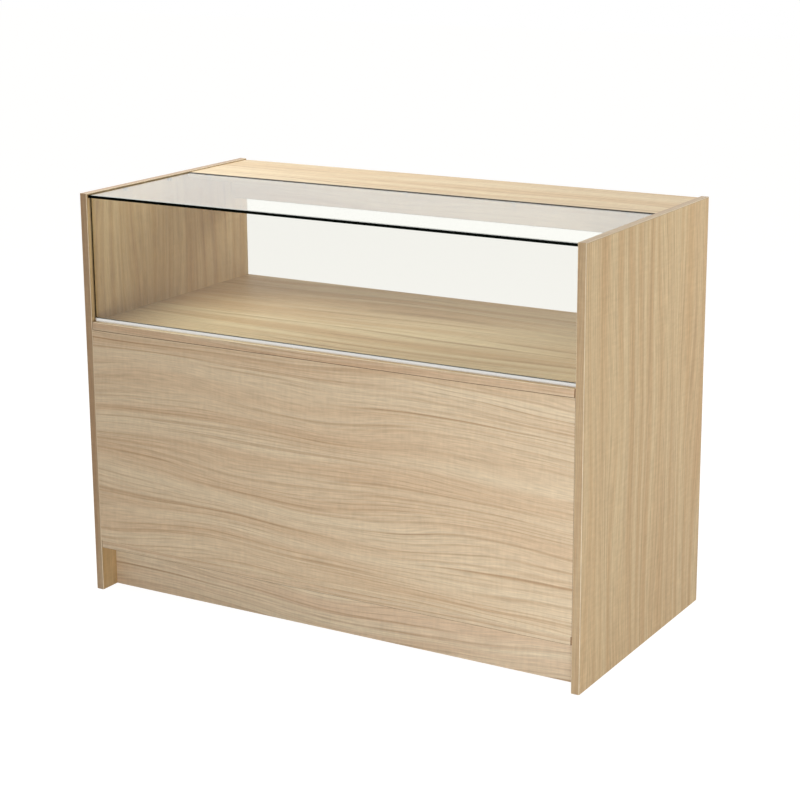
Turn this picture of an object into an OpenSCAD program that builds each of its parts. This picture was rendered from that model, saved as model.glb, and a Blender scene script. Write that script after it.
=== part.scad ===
// Shop counter with a glazed display compartment above a lockable storage cupboard.
// The customer's side faces -Y and the shopkeeper's side faces +Y. The origin is on the
// floor, under the middle of the counter. All sizes are in millimetres.

/* [Overall] */
// Width over the outer faces of the side panels
counter_w = 1200; // [1000:10:1500]
// Depth from the front edge to the rear edge
counter_d = 600; // [560:5:750]
// Height of the side panels
counter_h = 900; // [860:5:1050]
// Thickness of the melamine faced boards
board_t = 18; // [16:1:19]
// Thickness of the edge strips glued to the boards
edging_t = 2; // [1:0.5:3]
// Rounding of the edge strips' outer corners
edging_r = 1.5; // [0.5:0.1:2]
// Length that the front strips of deck and bottom stop short of each side panel
edging_end_gap = 2.5; // [0.5:0.5:5]

/* [Base] */
// Height of the plinth boards, which is the height of the bottom panel's underside
plinth_h = 100; // [70:5:140]
// Distance of each plinth board from the counter's front or rear
plinth_setback = 50; // [30:5:100]

/* [Display compartment] */
// Height of the display deck's upper face
deck_top = 618; // [560:1:680]
// Depth of the fixed board behind the top glass
top_board_d = 233; // [190:1:290]
// Distance of the top board and the top glass below the side panels' top edges
top_drop = 3; // [1:0.5:6]
// Height of the rail under the top board
header_h = 70; // [50:5:110]
// Distance of the rail's rear face from the counter's rear
header_setback = 45; // [20:5:60]

/* [Glazing] */
// Thickness of both glass panes
glass_t = 6; // [4:1:8]
// Gap between a pane's edge and the board beside it
glass_gap = 1.5; // [0.5:0.5:3]
// Distance of the top pane's front edge from the counter's front
top_glass_setback = 3; // [0.5:0.5:5]
// Gap between the two panes, filled by the clear bonding strip
pane_joint = 0.5; // [0.3:0.1:1]
// Height of the aluminium channel that holds the front pane
channel_h = 8; // [6:0.5:12]
// Wall thickness of the channel
channel_wall = 1.5; // [1:0.1:2]
// Distance of the channel from the counter's front
channel_setback = 8.5; // [5:0.5:14]
// Gap between the channel's end and the side panel
channel_end_gap = 3; // [1:0.5:6]
// Thickness of the soft liner between channel and pane
liner_t = 0.75; // [0.5:0.05:1.5]
// Number of screws through the channel's base
channel_screws_n = 5; // [3:1:9]
// Distance of the outer channel screws from the channel's ends
channel_screw_inset = 40; // [20:5:60]

/* [Top glass rests] */
// Width of the angle's leg under the top pane's rear edge
ledge_leg = 11.5; // [9:0.5:14]
// Wall thickness of the angle
ledge_wall = 1.5; // [1:0.1:2]
// Number of screws and of pads along the angle
ledge_screws_n = 5; // [3:1:9]
// Distance of the outer screws and pads from the angle's ends
ledge_screw_inset = 60; // [20:5:100]
// Thickness of the clear pads under the top pane
pad_t = 1.5; // [1:0.1:2]
// Diameter of the clear pads
pad_d = 8; // [6:0.5:9]
// Diameter of the support studs in the side panels
stud_d = 6; // [5:0.5:7]
// Length of a stud that stands out of the side panel
stud_reach = 10; // [8:0.5:14]
// Distance of the front studs from the counter's front
stud_front = 130; // [90:5:160]
// Distance of the rear studs from the counter's front
stud_rear = 290; // [240:5:310]

/* [Storage shelves] */
// Height of the shelf pins' axes
pin_z = 347; // [300:1:400]
// Spacing of the row of pin holes
hole_pitch = 32; // [25:1:32]
// Number of further pin holes above and below the one in use
holes_each_way = 3; // [1:1:3]
// Distance of the front row of pin holes from the counter's front
pin_front = 80; // [60:5:100]
// Distance of the rear row of pin holes from the counter's rear
pin_rear = 110; // [90:5:140]
// Diameter of the pins' shanks
pin_shank_d = 5; // [4:0.5:6]
// Diameter of the pins' outer ends, which carry the shelf
pin_rest_d = 6; // [5:0.5:7]
// Distance of the shelves' rear edge from the counter's rear
shelf_setback = 60; // [50:5:80]

/* [Doors] */
// Distance of the doors' outer faces inside the counter's rear
door_inset = 4; // [3:0.5:8]
// Gap between a door and the side panel
door_side_gap = 2.5; // [2:0.1:4]
// Gap between the two doors
door_centre_gap = 3; // [2:0.5:6]
// Gap between a pivot's plate and the bush's washer that turns on it
washer_gap = 0.3; // [0.2:0.1:1]
// Distance of the pivot axis from the door's edge
pivot_edge = 12; // [11:0.5:16]
// Distance of the pivot axis from the door's outer face
pivot_face = 7; // [6.5:0.5:9]
// Diameter of the pivot pins
pivot_pin_d = 6; // [4:0.5:6]
// Length of the pivot pins above their plates
pivot_pin_l = 12; // [10:1:16]
// Thickness of the pivot plates
pivot_plate_t = 2; // [1.5:0.1:2.2]
// Outer diameter of the pivot bushes
bush_d = 10; // [9:0.5:11]
// Running clearance of pin and plug in their bores, on the radius
run_gap = 0.05; // [0.02:0.01:0.08]

/* [Lock and pull] */
// Distance of the lock's axis from the door's free edge
lock_edge = 40; // [34:1:60]
// Distance of the lock's axis below the display deck
lock_drop = 32; // [30:1:36]
// Diameter of the lock's barrel
lock_d = 16; // [14:0.5:18]
// Diameter of the turning plug
plug_d = 11; // [9:0.5:12]
// Diameter of the lock's outer flange
lock_flange_d = 20; // [19:0.5:24]
// Distance of the cup pull's axis below the display deck
pull_drop = 90; // [75:5:200]
// Diameter of the cup pull's bowl
pull_d = 40; // [30:1:50]
// Depth of the cup pull's bowl
pull_depth = 11; // [8:0.5:12]
// Width of the lip over the bowl, that the fingers pull on
pull_lip = 13; // [8:0.5:14]
// Width of the cup pull's rim
pull_rim = 5; // [3:0.5:8]
// Wall thickness of the cup pull
pull_wall = 1.2; // [0.8:0.1:1.8]

/* [Connecting fittings] */
// Distance of a cam's axis from the end of its board
cam_inset = 34; // [28:1:40]
// Diameter of the cams
cam_d = 15; // [12:1:15]
// Diameter of the connecting bolts
cam_bolt_d = 6; // [5:0.5:6]
// Diameter of the wooden dowels
dowel_d = 8; // [6:1:8]
// Length of a dowel that lies in the board's end
dowel_in_end = 20; // [16:1:24]
// Length of a dowel that lies in the other board's face
dowel_in_face = 10; // [8:0.5:12]
// Distance of the outer deck and bottom fittings from the middle of the counter's depth
cam_spread = 190; // [150:5:200]
// Distance of the outer dowels from the middle of the counter's depth
dowel_spread = 95; // [60:5:120]
// Distance from the middle of the counter to the dowels along the long joints
long_dowel_x = 300; // [200:10:380]
// Distance of the front panel's cams from the deck and from the bottom panel
panel_cam_z = 80; // [50:5:120]
// Distance of the top board's front cams from its front edge
top_cam_front = 40; // [30:5:60]
// Distance of the top board's rear cams from its rear edge
top_cam_rear = 108; // [100:1:120]
// Diameter of the small screws' shanks
screw_d = 3; // [2.5:0.5:3.5]
// Diameter of the small screws' heads
screw_head_d = 6; // [5:0.5:6]
// Length of the small screws below their heads
screw_l = 12; // [8:1:13]

/* [Hidden] */
$fn = 48;

// Colours of the finishes
wood = [0.80, 0.71, 0.57];
wood_edge = [0.76, 0.66, 0.52];
beech = [0.78, 0.62, 0.42];
clear = [0.86, 0.95, 0.92, 0.35];
clear_soft = [0.92, 0.94, 0.93, 0.6];
aluminium = [0.80, 0.81, 0.82];
nickel = [0.72, 0.71, 0.69];
zinc = [0.62, 0.63, 0.65];
nylon = [0.90, 0.89, 0.85];

// Small clearance of parts that slide into each other, on the radius
fit = 0.05;
// Seating gap between a curved rest and the flat face that lies on it
seat = 0.2;
// Free depth that a blind hole runs past the piece in it
past = 0.4;
// Overrun of cutting shapes past the faces that they cut
over = 1;

// Planes of the carcass
half_w = counter_w / 2;
half_d = counter_d / 2;
inner = half_w - board_t;
front_y = -half_d;
rear_y = half_d;
edge_round = min(edging_r, 0.9 * edging_t);
bottom_top = plinth_h + board_t;
deck_under = deck_top - board_t;
top_plane = counter_h - top_drop;
top_under = top_plane - board_t;
glass_under = top_plane - glass_t;
top_board_front = rear_y - top_board_d;
header_rear = rear_y - header_setback;
header_front = header_rear - board_t;
header_low = top_under - header_h;
panel_back = front_y + board_t;

// Channel and front pane
channel_d = glass_t + 2 * (liner_t + channel_wall);
channel_front = front_y + channel_setback;
pane_front = channel_front + channel_wall + liner_t;
pane_low = deck_top + channel_wall + liner_t;
pane_high = glass_under - pane_joint;
channel_half = inner - channel_end_gap;
liner_lip = 0.5;
glass_half = inner - glass_gap;

// Rests of the top pane
rest_plane = glass_under - pad_t;
ledge_back = top_board_front;
ledge_screw_l = screw_l + edging_t;
stud_shank_d = 5;
stud_depth = 9;
stud_collar_t = 1;
collar_ring = 1;
stud_collar_d = stud_d + 2 * collar_ring;
stud_z = rest_plane - seat - stud_d / 2;

// Doors, measured for the door on the +X side
door_t = board_t;
door_out = rear_y - door_inset;
door_in = door_out - door_t;
door_hinge_x = inner - door_side_gap;
door_free_x = door_centre_gap / 2;
washer_t = 1;
washer_d = bush_d + 2 * collar_ring;
door_end_gap = pivot_plate_t + washer_gap + washer_t;
door_low = bottom_top + door_end_gap;
door_high = deck_under - door_end_gap;
pivot_x = door_hinge_x - pivot_edge;
pivot_y = door_out - pivot_face;
plate_w = 34;
plate_edge_gap = 1;
plate_screw_x = 11;
bush_floor = 1;
pin_end_gap = 2;
bush_depth = pivot_pin_l - washer_gap - washer_t + pin_end_gap + bush_floor;

// Catches: [width, depth, height] of the body and the width of each ear
catch_plate_t = 1.5;
catch_gap = 0.3;
catch_face = door_in - catch_plate_t - catch_gap;
catch_x = 130;
catch_size = [40, 14, 12];
catch_ear = 9;
catch_ear_t = 2;
catch_plate_h = catch_size.z - 2 * catch_ear_t;

// Lock and cup pull
lock_x = door_free_x + lock_edge;
lock_z = deck_under - lock_drop;
lock_flange_t = 2;
lock_tail = 6;
plug_past = 1;
plug_back = door_t + lock_tail + plug_past;
plug_neck_d = 8;
plug_neck_flat = 6;
key_slot = [1.2, 7, 6];
nut_t = 4;
nut_flats = 20;
cam_t = 2;
cam_w = 14;
cam_screw_head_d = 10;
cam_screw_head_t = 2.5;
cam_screw_l = 8;
strike_w = 20;
strike_t = 2;
strike_drop = 12;
strike_gap = 0.5;
cam_tip_gap = 2;
cam_reach = lock_drop - strike_t - cam_tip_gap;
strike_leg = 16;
strike_rear = door_out - plug_back + strike_gap + strike_t;
pull_z = deck_under - pull_drop;
pull_rim_t = 1.2;

// Shelves
shelf_gap = 1.5;
pin_collar_t = 1;
pin_collar_d = pin_rest_d + 2 * collar_ring;
pin_depth = board_t / 2 - 1;
pin_reach = 9;
shelf_low = pin_z + pin_rest_d / 2 + seat;
shelf_front = panel_back + 2;
shelf_rear = rear_y - shelf_setback;
pin_y = [front_y + pin_front, rear_y - pin_rear];

// Fittings
mid = board_t / 2;
cam_bore_depth = 0.75 * board_t;
cam_h = cam_bore_depth - past;
cam_slot_w = 1.2;
bolt_bore_d = cam_bolt_d + 2;
bolt_thread_d = 5;
bolt_thread_l = 11;
bolt_head_d = cam_bolt_d + 1;
bolt_head_l = 2.4;
bolt_neck_l = 3;
bolt_neck_d = cam_bolt_d - 1.6;
cam_hollow_d = bolt_head_d + 0.6;

// Lines that the fittings lie on
front_line = front_y + mid;
header_line = header_rear - mid;
front_plinth_line = front_y + plinth_setback + mid;
rear_plinth_line = rear_y - plinth_setback - mid;
top_cams = [top_board_front + top_cam_front, rear_y - top_cam_rear];

// Places of the cam fittings: distance back, height, and the way that the cam's bore opens
cam_sites = concat(
    [for (y = [-cam_spread, 0, cam_spread]) [y, deck_under + mid, "down"]],
    [for (y = [-cam_spread, 0, cam_spread]) [y, plinth_h + mid, "down"]],
    [for (y = top_cams) [y, top_under + mid, "down"]],
    [for (z = [bottom_top + panel_cam_z, deck_under - panel_cam_z]) [front_line, z, "back"]],
    [[header_line, header_low + header_h / 2, "back"]],
    [[front_plinth_line, plinth_h / 2, "back"]],
    [[rear_plinth_line, plinth_h / 2, "front"]]
);

// Places of the dowels that run across, into the side panels: distance back and height
across_dowels = concat(
    [for (y = [-dowel_spread, dowel_spread], z = [deck_under, plinth_h]) [y, z + mid]],
    [[(top_cams[0] + top_cams[1]) / 2, top_under + mid]],
    [[header_line, header_low + header_h / 4]],
    [[front_plinth_line, plinth_h / 4]],
    [[rear_plinth_line, plinth_h / 4]],
    [[front_line, (bottom_top + deck_under) / 2]]
);

// Places of the upright dowels: across, distance back, height of the joint, and whether the
// board whose end they sit in stands below the joint
upright_dowels = concat(
    [for (x = [-long_dowel_x, long_dowel_x]) [x, front_line, deck_under, true]],
    [for (x = [-long_dowel_x, long_dowel_x]) [x, front_line, bottom_top, false]],
    [for (x = [-long_dowel_x, long_dowel_x]) [x, header_line, top_under, true]],
    [for (y = [-dowel_spread, dowel_spread]) [0, y, deck_under, true]],
    [for (y = [-dowel_spread, dowel_spread]) [0, y, bottom_top, false]]
);

// A board between two opposite corners
module board(low, high) {
    translate(low) cube(high - low);
}

// Section of an edge strip: its outer corners are rounded
module edging_section(width) {
    r = edge_round;
    intersection() {
        square([width, edging_t]);
        union() {
            translate([0, -r]) square([width, edging_t]);
            translate([r, 0]) square([width - 2 * r, edging_t]);
            for (x = [r, width - r]) translate([x, edging_t - r]) circle(r);
        }
    }
}

// An edge strip with its lowest corner at the origin. It faces one way and runs along one axis.
module edging(faces, runs, length, width = board_t) {
    if (faces == "+y" && runs == "z")
        linear_extrude(length) edging_section(width);
    if (faces == "-y" && runs == "z")
        translate([0, edging_t, 0]) mirror([0, 1, 0]) edging("+y", "z", length, width);
    if (faces == "+y" && runs == "x")
        translate([0, 0, width]) rotate([0, 90, 0]) linear_extrude(length) edging_section(width);
    if (faces == "-y" && runs == "x")
        translate([0, edging_t, 0]) mirror([0, 1, 0]) edging("+y", "x", length, width);
    if (faces == "+z" && runs == "y")
        translate([0, length, 0]) rotate([90, 0, 0]) linear_extrude(length) edging_section(width);
    if (faces == "+z" && runs == "x")
        translate([0, width, 0]) rotate([90, 0, 0]) edging("+y", "x", length, width);
    if (faces == "-z" && runs == "x")
        translate([0, 0, edging_t]) mirror([0, 0, 1]) edging("+z", "x", length, width);
    if (faces == "+x" && runs == "z")
        translate([0, width, 0]) rotate([0, 0, -90]) edging("+y", "z", length, width);
    if (faces == "-x" && runs == "z")
        translate([edging_t, 0, 0]) mirror([1, 0, 0]) edging("+x", "z", length, width);
}

// Turns a cam so that its local +Z runs into the board from the bore's mouth
function cam_turn(opens) = opens == "down" ? [0, 0, 0] : opens == "back" ? [90, 0, 0] : [-90, 0, 0];

// Puts a child at the mouth of each cam's bore, with local +X towards the nearer side panel
module at_cams() {
    for (s = [0, 1]) mirror([s, 0, 0])
        for (site = cam_sites)
            translate([inner - cam_inset, site[0], site[1]]) rotate(cam_turn(site[2]))
                translate([0, 0, -board_t / 2]) children();
}

// Puts a child at each bolt's entry into a side panel, with local +Z towards the panel
module at_bolts() {
    for (s = [0, 1]) mirror([s, 0, 0])
        for (site = cam_sites)
            translate([inner, site[0], site[1]]) rotate([0, 90, 0]) children();
}

// Puts a child at each cross dowel's joint, with local +Z into the side panel
module at_across_dowels() {
    for (s = [0, 1]) mirror([s, 0, 0])
        for (site = across_dowels)
            translate([inner, site[0], site[1]]) rotate([0, 90, 0]) children();
}

// Puts a child at each upright dowel's joint, with local +Z out of the board's end
module at_upright_dowels() {
    for (site = upright_dowels)
        translate([site[0], site[1], site[2]]) mirror([0, 0, site[3] ? 0 : 1]) children();
}

// A dowel across a joint at Z 0, or the bore for it
module dowel() {
    translate([0, 0, -dowel_in_end]) cylinder(d = dowel_d, h = dowel_in_end + dowel_in_face);
}

module dowel_bore() {
    translate([0, 0, -dowel_in_end - past])
        cylinder(d = dowel_d + 2 * fit, h = dowel_in_end + dowel_in_face + 2 * past);
}

// A blind bore for a round piece, from the face at Z 0 upwards
module bore(diameter, depth) {
    translate([0, 0, -over]) cylinder(d = diameter + 2 * fit, h = over + depth);
}

// Everything that is drilled out of the boards for cams, bolts and dowels
module fitting_bores() {
    at_cams() bore(cam_d, cam_bore_depth);
    at_bolts() {
        translate([0, 0, -cam_inset]) cylinder(d = bolt_bore_d, h = cam_inset);
        bore(bolt_thread_d, bolt_thread_l + past);
    }
    at_across_dowels() dowel_bore();
    at_upright_dowels() dowel_bore();
}

// Side panels with their rows of shelf pin holes
module pin_holes() {
    for (y = pin_y, k = [-holes_each_way : holes_each_way])
        translate([0, y, pin_z + k * hole_pitch]) rotate([0, 90, 0])
            bore(pin_shank_d, pin_depth + past);
}

module right_side_board() {
    color(wood) difference() {
        board([inner, front_y + edging_t, 0], [half_w, rear_y - edging_t, counter_h - edging_t]);
        fitting_bores();
        translate([inner, 0, 0]) pin_holes();
        at_studs() bore(stud_shank_d, stud_depth + past);
    }
}

module right_side_strips() {
    color(wood_edge) {
        translate([inner, front_y, 0]) edging("-y", "z", counter_h);
        translate([inner, rear_y - edging_t, 0]) edging("+y", "z", counter_h);
        translate([inner, front_y + edging_t, counter_h - edging_t])
            edging("+z", "y", counter_d - 2 * edging_t);
    }
}

module left_side_panel() { mirror([1, 0, 0]) right_side_board(); }
module right_side_panel() { right_side_board(); }
module left_side_edging() { mirror([1, 0, 0]) right_side_strips(); }
module right_side_edging() { right_side_strips(); }

// Front and rear strips of a board that runs from side to side
module cross_strips(low, end_gap) {
    length = 2 * (inner - end_gap);
    color(wood_edge) translate([-length / 2, 0, low]) {
        translate([0, front_y, 0]) edging("-y", "x", length);
        translate([0, rear_y - edging_t, 0]) edging("+y", "x", length);
    }
}

module bottom_panel() {
    color(wood) difference() {
        board([-inner, front_y + edging_t, plinth_h], [inner, rear_y - edging_t, bottom_top]);
        fitting_bores();
        pivot_screw_holes();
    }
}

module bottom_edging() { cross_strips(plinth_h, edging_end_gap); }

module display_deck() {
    color(wood) difference() {
        board([-inner, front_y + edging_t, deck_under], [inner, rear_y - edging_t, deck_top]);
        fitting_bores();
        pivot_screw_holes();
        at_channel_screws() screw_hole();
        at_strike_screws() screw_hole();
        at_catch_screws() screw_hole();
    }
}

module deck_edging() { cross_strips(deck_under, edging_end_gap); }

module front_panel() {
    color(wood) difference() {
        board([-inner, front_y, bottom_top], [inner, panel_back, deck_under]);
        fitting_bores();
    }
}

module front_plinth() {
    color(wood) difference() {
        board([-inner, front_y + plinth_setback, 0], [inner, front_y + plinth_setback + board_t, plinth_h]);
        fitting_bores();
    }
}

module rear_plinth() {
    color(wood) difference() {
        board([-inner, rear_y - plinth_setback - board_t, 0], [inner, rear_y - plinth_setback, plinth_h]);
        fitting_bores();
    }
}

// Upright board between the two halves of the cupboard, drilled from both faces
module centre_partition() {
    color(wood) difference() {
        board([-mid, panel_back, bottom_top], [mid, catch_face - edging_t, deck_under]);
        fitting_bores();
        for (s = [0, 1]) mirror([s, 0, 0])
            translate([mid, 0, 0]) mirror([1, 0, 0]) pin_holes();
    }
}

module partition_edging() {
    color(wood_edge) translate([-mid, catch_face - edging_t, bottom_top])
        edging("+y", "z", deck_under - bottom_top);
}

module rear_top_board() {
    color(wood) difference() {
        board([-inner, top_board_front + edging_t, top_under], [inner, rear_y - edging_t, top_plane]);
        fitting_bores();
        at_ledge_screws() screw_hole(ledge_screw_l);
    }
}

module top_board_edging() {
    color(wood_edge) difference() {
        translate([-inner, 0, top_under]) {
            translate([0, top_board_front, 0]) edging("-y", "x", 2 * inner);
            translate([0, rear_y - edging_t, 0]) edging("+y", "x", 2 * inner);
        }
        at_ledge_screws() screw_hole(ledge_screw_l);
    }
}

module header_rail() {
    color(wood) difference() {
        board([-inner, header_front, header_low + edging_t], [inner, header_rear, top_under]);
        fitting_bores();
    }
}

module header_edging() {
    color(wood_edge) translate([-inner, header_front, header_low]) edging("-z", "x", 2 * inner);
}

// Glass panes, the clear strip that bonds them, and the channel of the front pane
module top_glass() {
    color(clear) board([-glass_half, front_y + top_glass_setback, glass_under],
        [glass_half, top_board_front - glass_gap, top_plane]);
}

module front_glass() {
    color(clear) board([-glass_half, pane_front, pane_low], [glass_half, pane_front + glass_t, pane_high]);
}

module pane_bond() {
    color(clear_soft) board([-glass_half, pane_front + pane_joint, pane_high],
        [glass_half, pane_front + glass_t - pane_joint, glass_under]);
}

module glass_channel() {
    color(aluminium) difference() {
        board([-channel_half, channel_front, deck_top],
            [channel_half, channel_front + channel_d, deck_top + channel_h]);
        board([-channel_half - over, channel_front + channel_wall, deck_top + channel_wall],
            [channel_half + over, channel_front + channel_d - channel_wall, deck_top + channel_h + over]);
        at_channel_screws() head_hole(channel_wall);
    }
}

module channel_liner() {
    color(clear_soft) difference() {
        board([-channel_half, channel_front + channel_wall, deck_top + channel_wall],
            [channel_half, channel_front + channel_d - channel_wall, deck_top + channel_h + liner_lip]);
        board([-channel_half - over, pane_front, pane_low],
            [channel_half + over, pane_front + glass_t, deck_top + channel_h + over]);
    }
}

// Puts a child on each channel screw's head, with local +Z into the deck
module at_channel_screws() {
    last = channel_half - channel_screw_inset;
    for (k = [0 : channel_screws_n - 1])
        translate([last * (2 * k / (channel_screws_n - 1) - 1), channel_front + channel_d / 2, deck_top])
            mirror([0, 0, 1]) children();
}

// A small flat headed screw. Its head lies in a sheet of thickness sheet_t, below local Z 0.
module small_screw(sheet_t, length = screw_l) {
    cylinder(d = screw_d, h = length);
    translate([0, 0, -sheet_t]) cylinder(d = screw_head_d, h = sheet_t);
}

// The hole in the board for a small screw's shank
module screw_hole(length = screw_l) {
    bore(screw_d, length + past);
}

// The hole in the sheet for a small screw's head
module head_hole(sheet_t) {
    translate([0, 0, -sheet_t - over]) cylinder(d = screw_head_d + 2 * fit, h = sheet_t + 2 * over);
}

module channel_screws() {
    color(zinc) at_channel_screws() small_screw(channel_wall);
}

// Angle under the rear edge of the top pane, screwed to the top board's front edge
module at_ledge_screws() {
    for (x = ledge_places())
        translate([x, ledge_back, (top_under + rest_plane - ledge_wall) / 2])
            rotate([-90, 0, 0]) children();
}

// Places along the angle, for its screws and for the pads on it
function ledge_places() = [for (k = [0 : ledge_screws_n - 1])
    (glass_half - ledge_screw_inset) * (2 * k / (ledge_screws_n - 1) - 1)];

module glass_ledge() {
    color(aluminium) difference() {
        union() {
            board([-glass_half, ledge_back - ledge_leg, rest_plane - ledge_wall],
                [glass_half, ledge_back, rest_plane]);
            board([-glass_half, ledge_back - ledge_wall, top_under],
                [glass_half, ledge_back, rest_plane]);
        }
        at_ledge_screws() head_hole(ledge_wall);
    }
}

module ledge_screws() {
    color(nickel) at_ledge_screws() small_screw(ledge_wall, ledge_screw_l);
}

// Puts a child at each stud's place on the +X side panel, with local +Z into the panel
module at_studs() {
    for (y = [stud_front, stud_rear])
        translate([inner, front_y + y, stud_z]) rotate([0, 90, 0]) children();
}

module glass_studs() {
    color(nickel) for (s = [0, 1]) mirror([s, 0, 0]) at_studs() {
        cylinder(d = stud_shank_d, h = stud_depth);
        translate([0, 0, -stud_reach]) cylinder(d = stud_d, h = stud_reach);
        translate([0, 0, -stud_collar_t]) cylinder(d = stud_collar_d, h = stud_collar_t);
    }
}

// Clear pads on the studs and on the angle
module glass_pads() {
    color(clear_soft) {
        for (s = [-1, 1], y = [stud_front, stud_rear])
            translate([s * (inner - stud_reach + pad_d / 2), front_y + y, rest_plane])
                cylinder(d = pad_d, h = pad_t);
        for (x = ledge_places())
            translate([x, ledge_back - ledge_leg + pad_d / 2, rest_plane])
                cylinder(d = pad_d, h = pad_t);
    }
}

// Shelves and their pins
module right_shelf_board() {
    color(wood) board([mid + shelf_gap, shelf_front, shelf_low],
        [inner - shelf_gap, shelf_rear - edging_t, shelf_low + board_t]);
}

module left_shelf() { mirror([1, 0, 0]) right_shelf_board(); }
module right_shelf() { right_shelf_board(); }

module shelf_edging() {
    color(wood_edge) for (s = [0, 1]) mirror([s, 0, 0])
        translate([mid + shelf_gap, shelf_rear - edging_t, shelf_low])
            edging("+y", "x", inner - mid - 2 * shelf_gap);
}

// A shelf pin at the face of a board, with local +Z into the board
module shelf_pin() {
    cylinder(d = pin_shank_d, h = pin_depth);
    translate([0, 0, -pin_reach]) cylinder(d = pin_rest_d, h = pin_reach);
    translate([0, 0, -pin_collar_t]) cylinder(d = pin_collar_d, h = pin_collar_t);
}

module shelf_pins() {
    color(nickel) for (s = [0, 1], y = pin_y) mirror([s, 0, 0]) {
        translate([inner, y, pin_z]) rotate([0, 90, 0]) shelf_pin();
        translate([mid, y, pin_z]) rotate([0, -90, 0]) shelf_pin();
    }
}

// Cam discs, connecting bolts and dowels
module cam_discs() {
    color(zinc) at_cams() difference() {
        translate([0, 0, past / 2]) cylinder(d = cam_d, h = cam_h);
        translate([-cam_hollow_d / 2, 0, mid]) rotate([0, 90, 0]) cylinder(d = cam_hollow_d, h = cam_d);
        for (turn = [0, 90]) rotate(turn)
            translate([-cam_d / 4, -cam_slot_w / 2, -over]) cube([cam_d / 2, cam_slot_w, 3 * over]);
    }
}

module cam_bolts() {
    color(zinc) at_bolts() {
        cylinder(d = bolt_thread_d, h = bolt_thread_l);
        translate([0, 0, -cam_inset + bolt_neck_l]) cylinder(d = cam_bolt_d, h = cam_inset - bolt_neck_l);
        translate([0, 0, -cam_inset]) cylinder(d = bolt_neck_d, h = cam_inset);
        translate([0, 0, -cam_inset - bolt_head_l / 2]) cylinder(d = bolt_head_d, h = bolt_head_l);
    }
}

module wood_dowels() {
    color(beech) {
        at_across_dowels() dowel();
        at_upright_dowels() dowel();
    }
}

// Pivots: a plate with a pin above and below each door
module at_pivots() {
    for (s = [0, 1]) mirror([s, 0, 0]) {
        translate([pivot_x, pivot_y, bottom_top]) children();
        translate([pivot_x, pivot_y, deck_under]) mirror([0, 0, 1]) children();
    }
}

module pivot_pins() {
    plate_d = 2 * (pivot_face + door_inset - plate_edge_gap);
    color(nickel) at_pivots() {
        cylinder(d = pivot_pin_d, h = pivot_plate_t + pivot_pin_l);
        difference() {
            translate([pivot_edge + door_side_gap - plate_w, -plate_d / 2, 0])
                cube([plate_w, plate_d, pivot_plate_t]);
            translate([-plate_screw_x, 0, 0]) mirror([0, 0, 1]) head_hole(pivot_plate_t);
        }
    }
}

module at_pivot_screws() {
    at_pivots() translate([-plate_screw_x, 0, 0]) mirror([0, 0, 1]) children();
}

module pivot_screw_holes() {
    at_pivot_screws() screw_hole();
}

module pivot_screws() {
    color(zinc) at_pivot_screws() small_screw(pivot_plate_t);
}

// Strikes under the deck that the locks' cams turn up behind
module at_strike_screws() {
    for (s = [-1, 1])
        translate([s * lock_x, strike_rear - strike_leg / 2, deck_under]) children();
}

module lock_strikes() {
    color(nickel) difference() {
        for (s = [-1, 1]) translate([s * lock_x - strike_w / 2, strike_rear, deck_under]) {
            translate([0, -strike_leg, -strike_t]) cube([strike_w, strike_leg, strike_t]);
            translate([0, -strike_t, -strike_drop]) cube([strike_w, strike_t, strike_drop]);
        }
        at_strike_screws() head_hole(strike_t);
    }
}

module strike_screws() {
    color(zinc) at_strike_screws() small_screw(strike_t);
}

// Magnetic catches under the deck, each held by two screws through its ears
module at_catch_screws() {
    for (s = [-1, 1], e = [-1, 1])
        translate([s * catch_x + e * (catch_size.x / 2 + catch_ear / 2),
            catch_face - catch_size.y / 2, deck_under]) children();
}

module magnetic_catches() {
    color(nylon) difference() {
        for (s = [-1, 1]) translate([s * catch_x, catch_face, deck_under]) {
            translate([-catch_size.x / 2, -catch_size.y, -catch_size.z]) cube(catch_size);
            translate([-catch_size.x / 2 - catch_ear, -catch_size.y, -catch_ear_t])
                cube([catch_size.x + 2 * catch_ear, catch_size.y, catch_ear_t]);
        }
        at_catch_screws() head_hole(catch_ear_t);
    }
}

module catch_screws() {
    color(zinc) at_catch_screws() small_screw(catch_ear_t);
}

// Door on the +X side, with its strips, bushes, pull and lock
module right_door_board() {
    color(wood) difference() {
        board([door_free_x + edging_t, door_in, door_low + edging_t],
            [door_hinge_x - edging_t, door_out, door_high - edging_t]);
        door_cuts();
    }
}

module door_cuts() {
    for (e = [0, 1]) translate([pivot_x, pivot_y, e == 0 ? door_low : door_high])
        mirror([0, 0, e]) bore(bush_d, bush_depth + past);
    translate([lock_x, door_out, pull_z]) rotate([90, 0, 0]) bore(pull_d, pull_depth + past);
    translate([lock_x, door_out, lock_z]) rotate([90, 0, 0]) bore(lock_d, door_t + over);
}

module right_door_strips() {
    width = door_hinge_x - door_free_x;
    height = door_high - door_low;
    color(wood_edge) difference() {
        translate([door_free_x, door_in, door_low]) {
            edging("-x", "z", height, door_t);
            translate([width - edging_t, 0, 0]) edging("+x", "z", height, door_t);
            translate([edging_t, 0, 0]) edging("-z", "x", width - 2 * edging_t, door_t);
            translate([edging_t, 0, height - edging_t]) edging("+z", "x", width - 2 * edging_t, door_t);
        }
        door_cuts();
    }
}

module right_bushes() {
    color(nylon) for (e = [0, 1]) translate([pivot_x, pivot_y, e == 0 ? door_low : door_high])
        mirror([0, 0, e]) difference() {
            union() {
                cylinder(d = bush_d, h = bush_depth);
                translate([0, 0, -washer_t]) cylinder(d = washer_d, h = washer_t);
            }
            translate([0, 0, -washer_t - over])
                cylinder(d = pivot_pin_d + 2 * run_gap, h = bush_depth - bush_floor + washer_t + over);
        }
}

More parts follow.
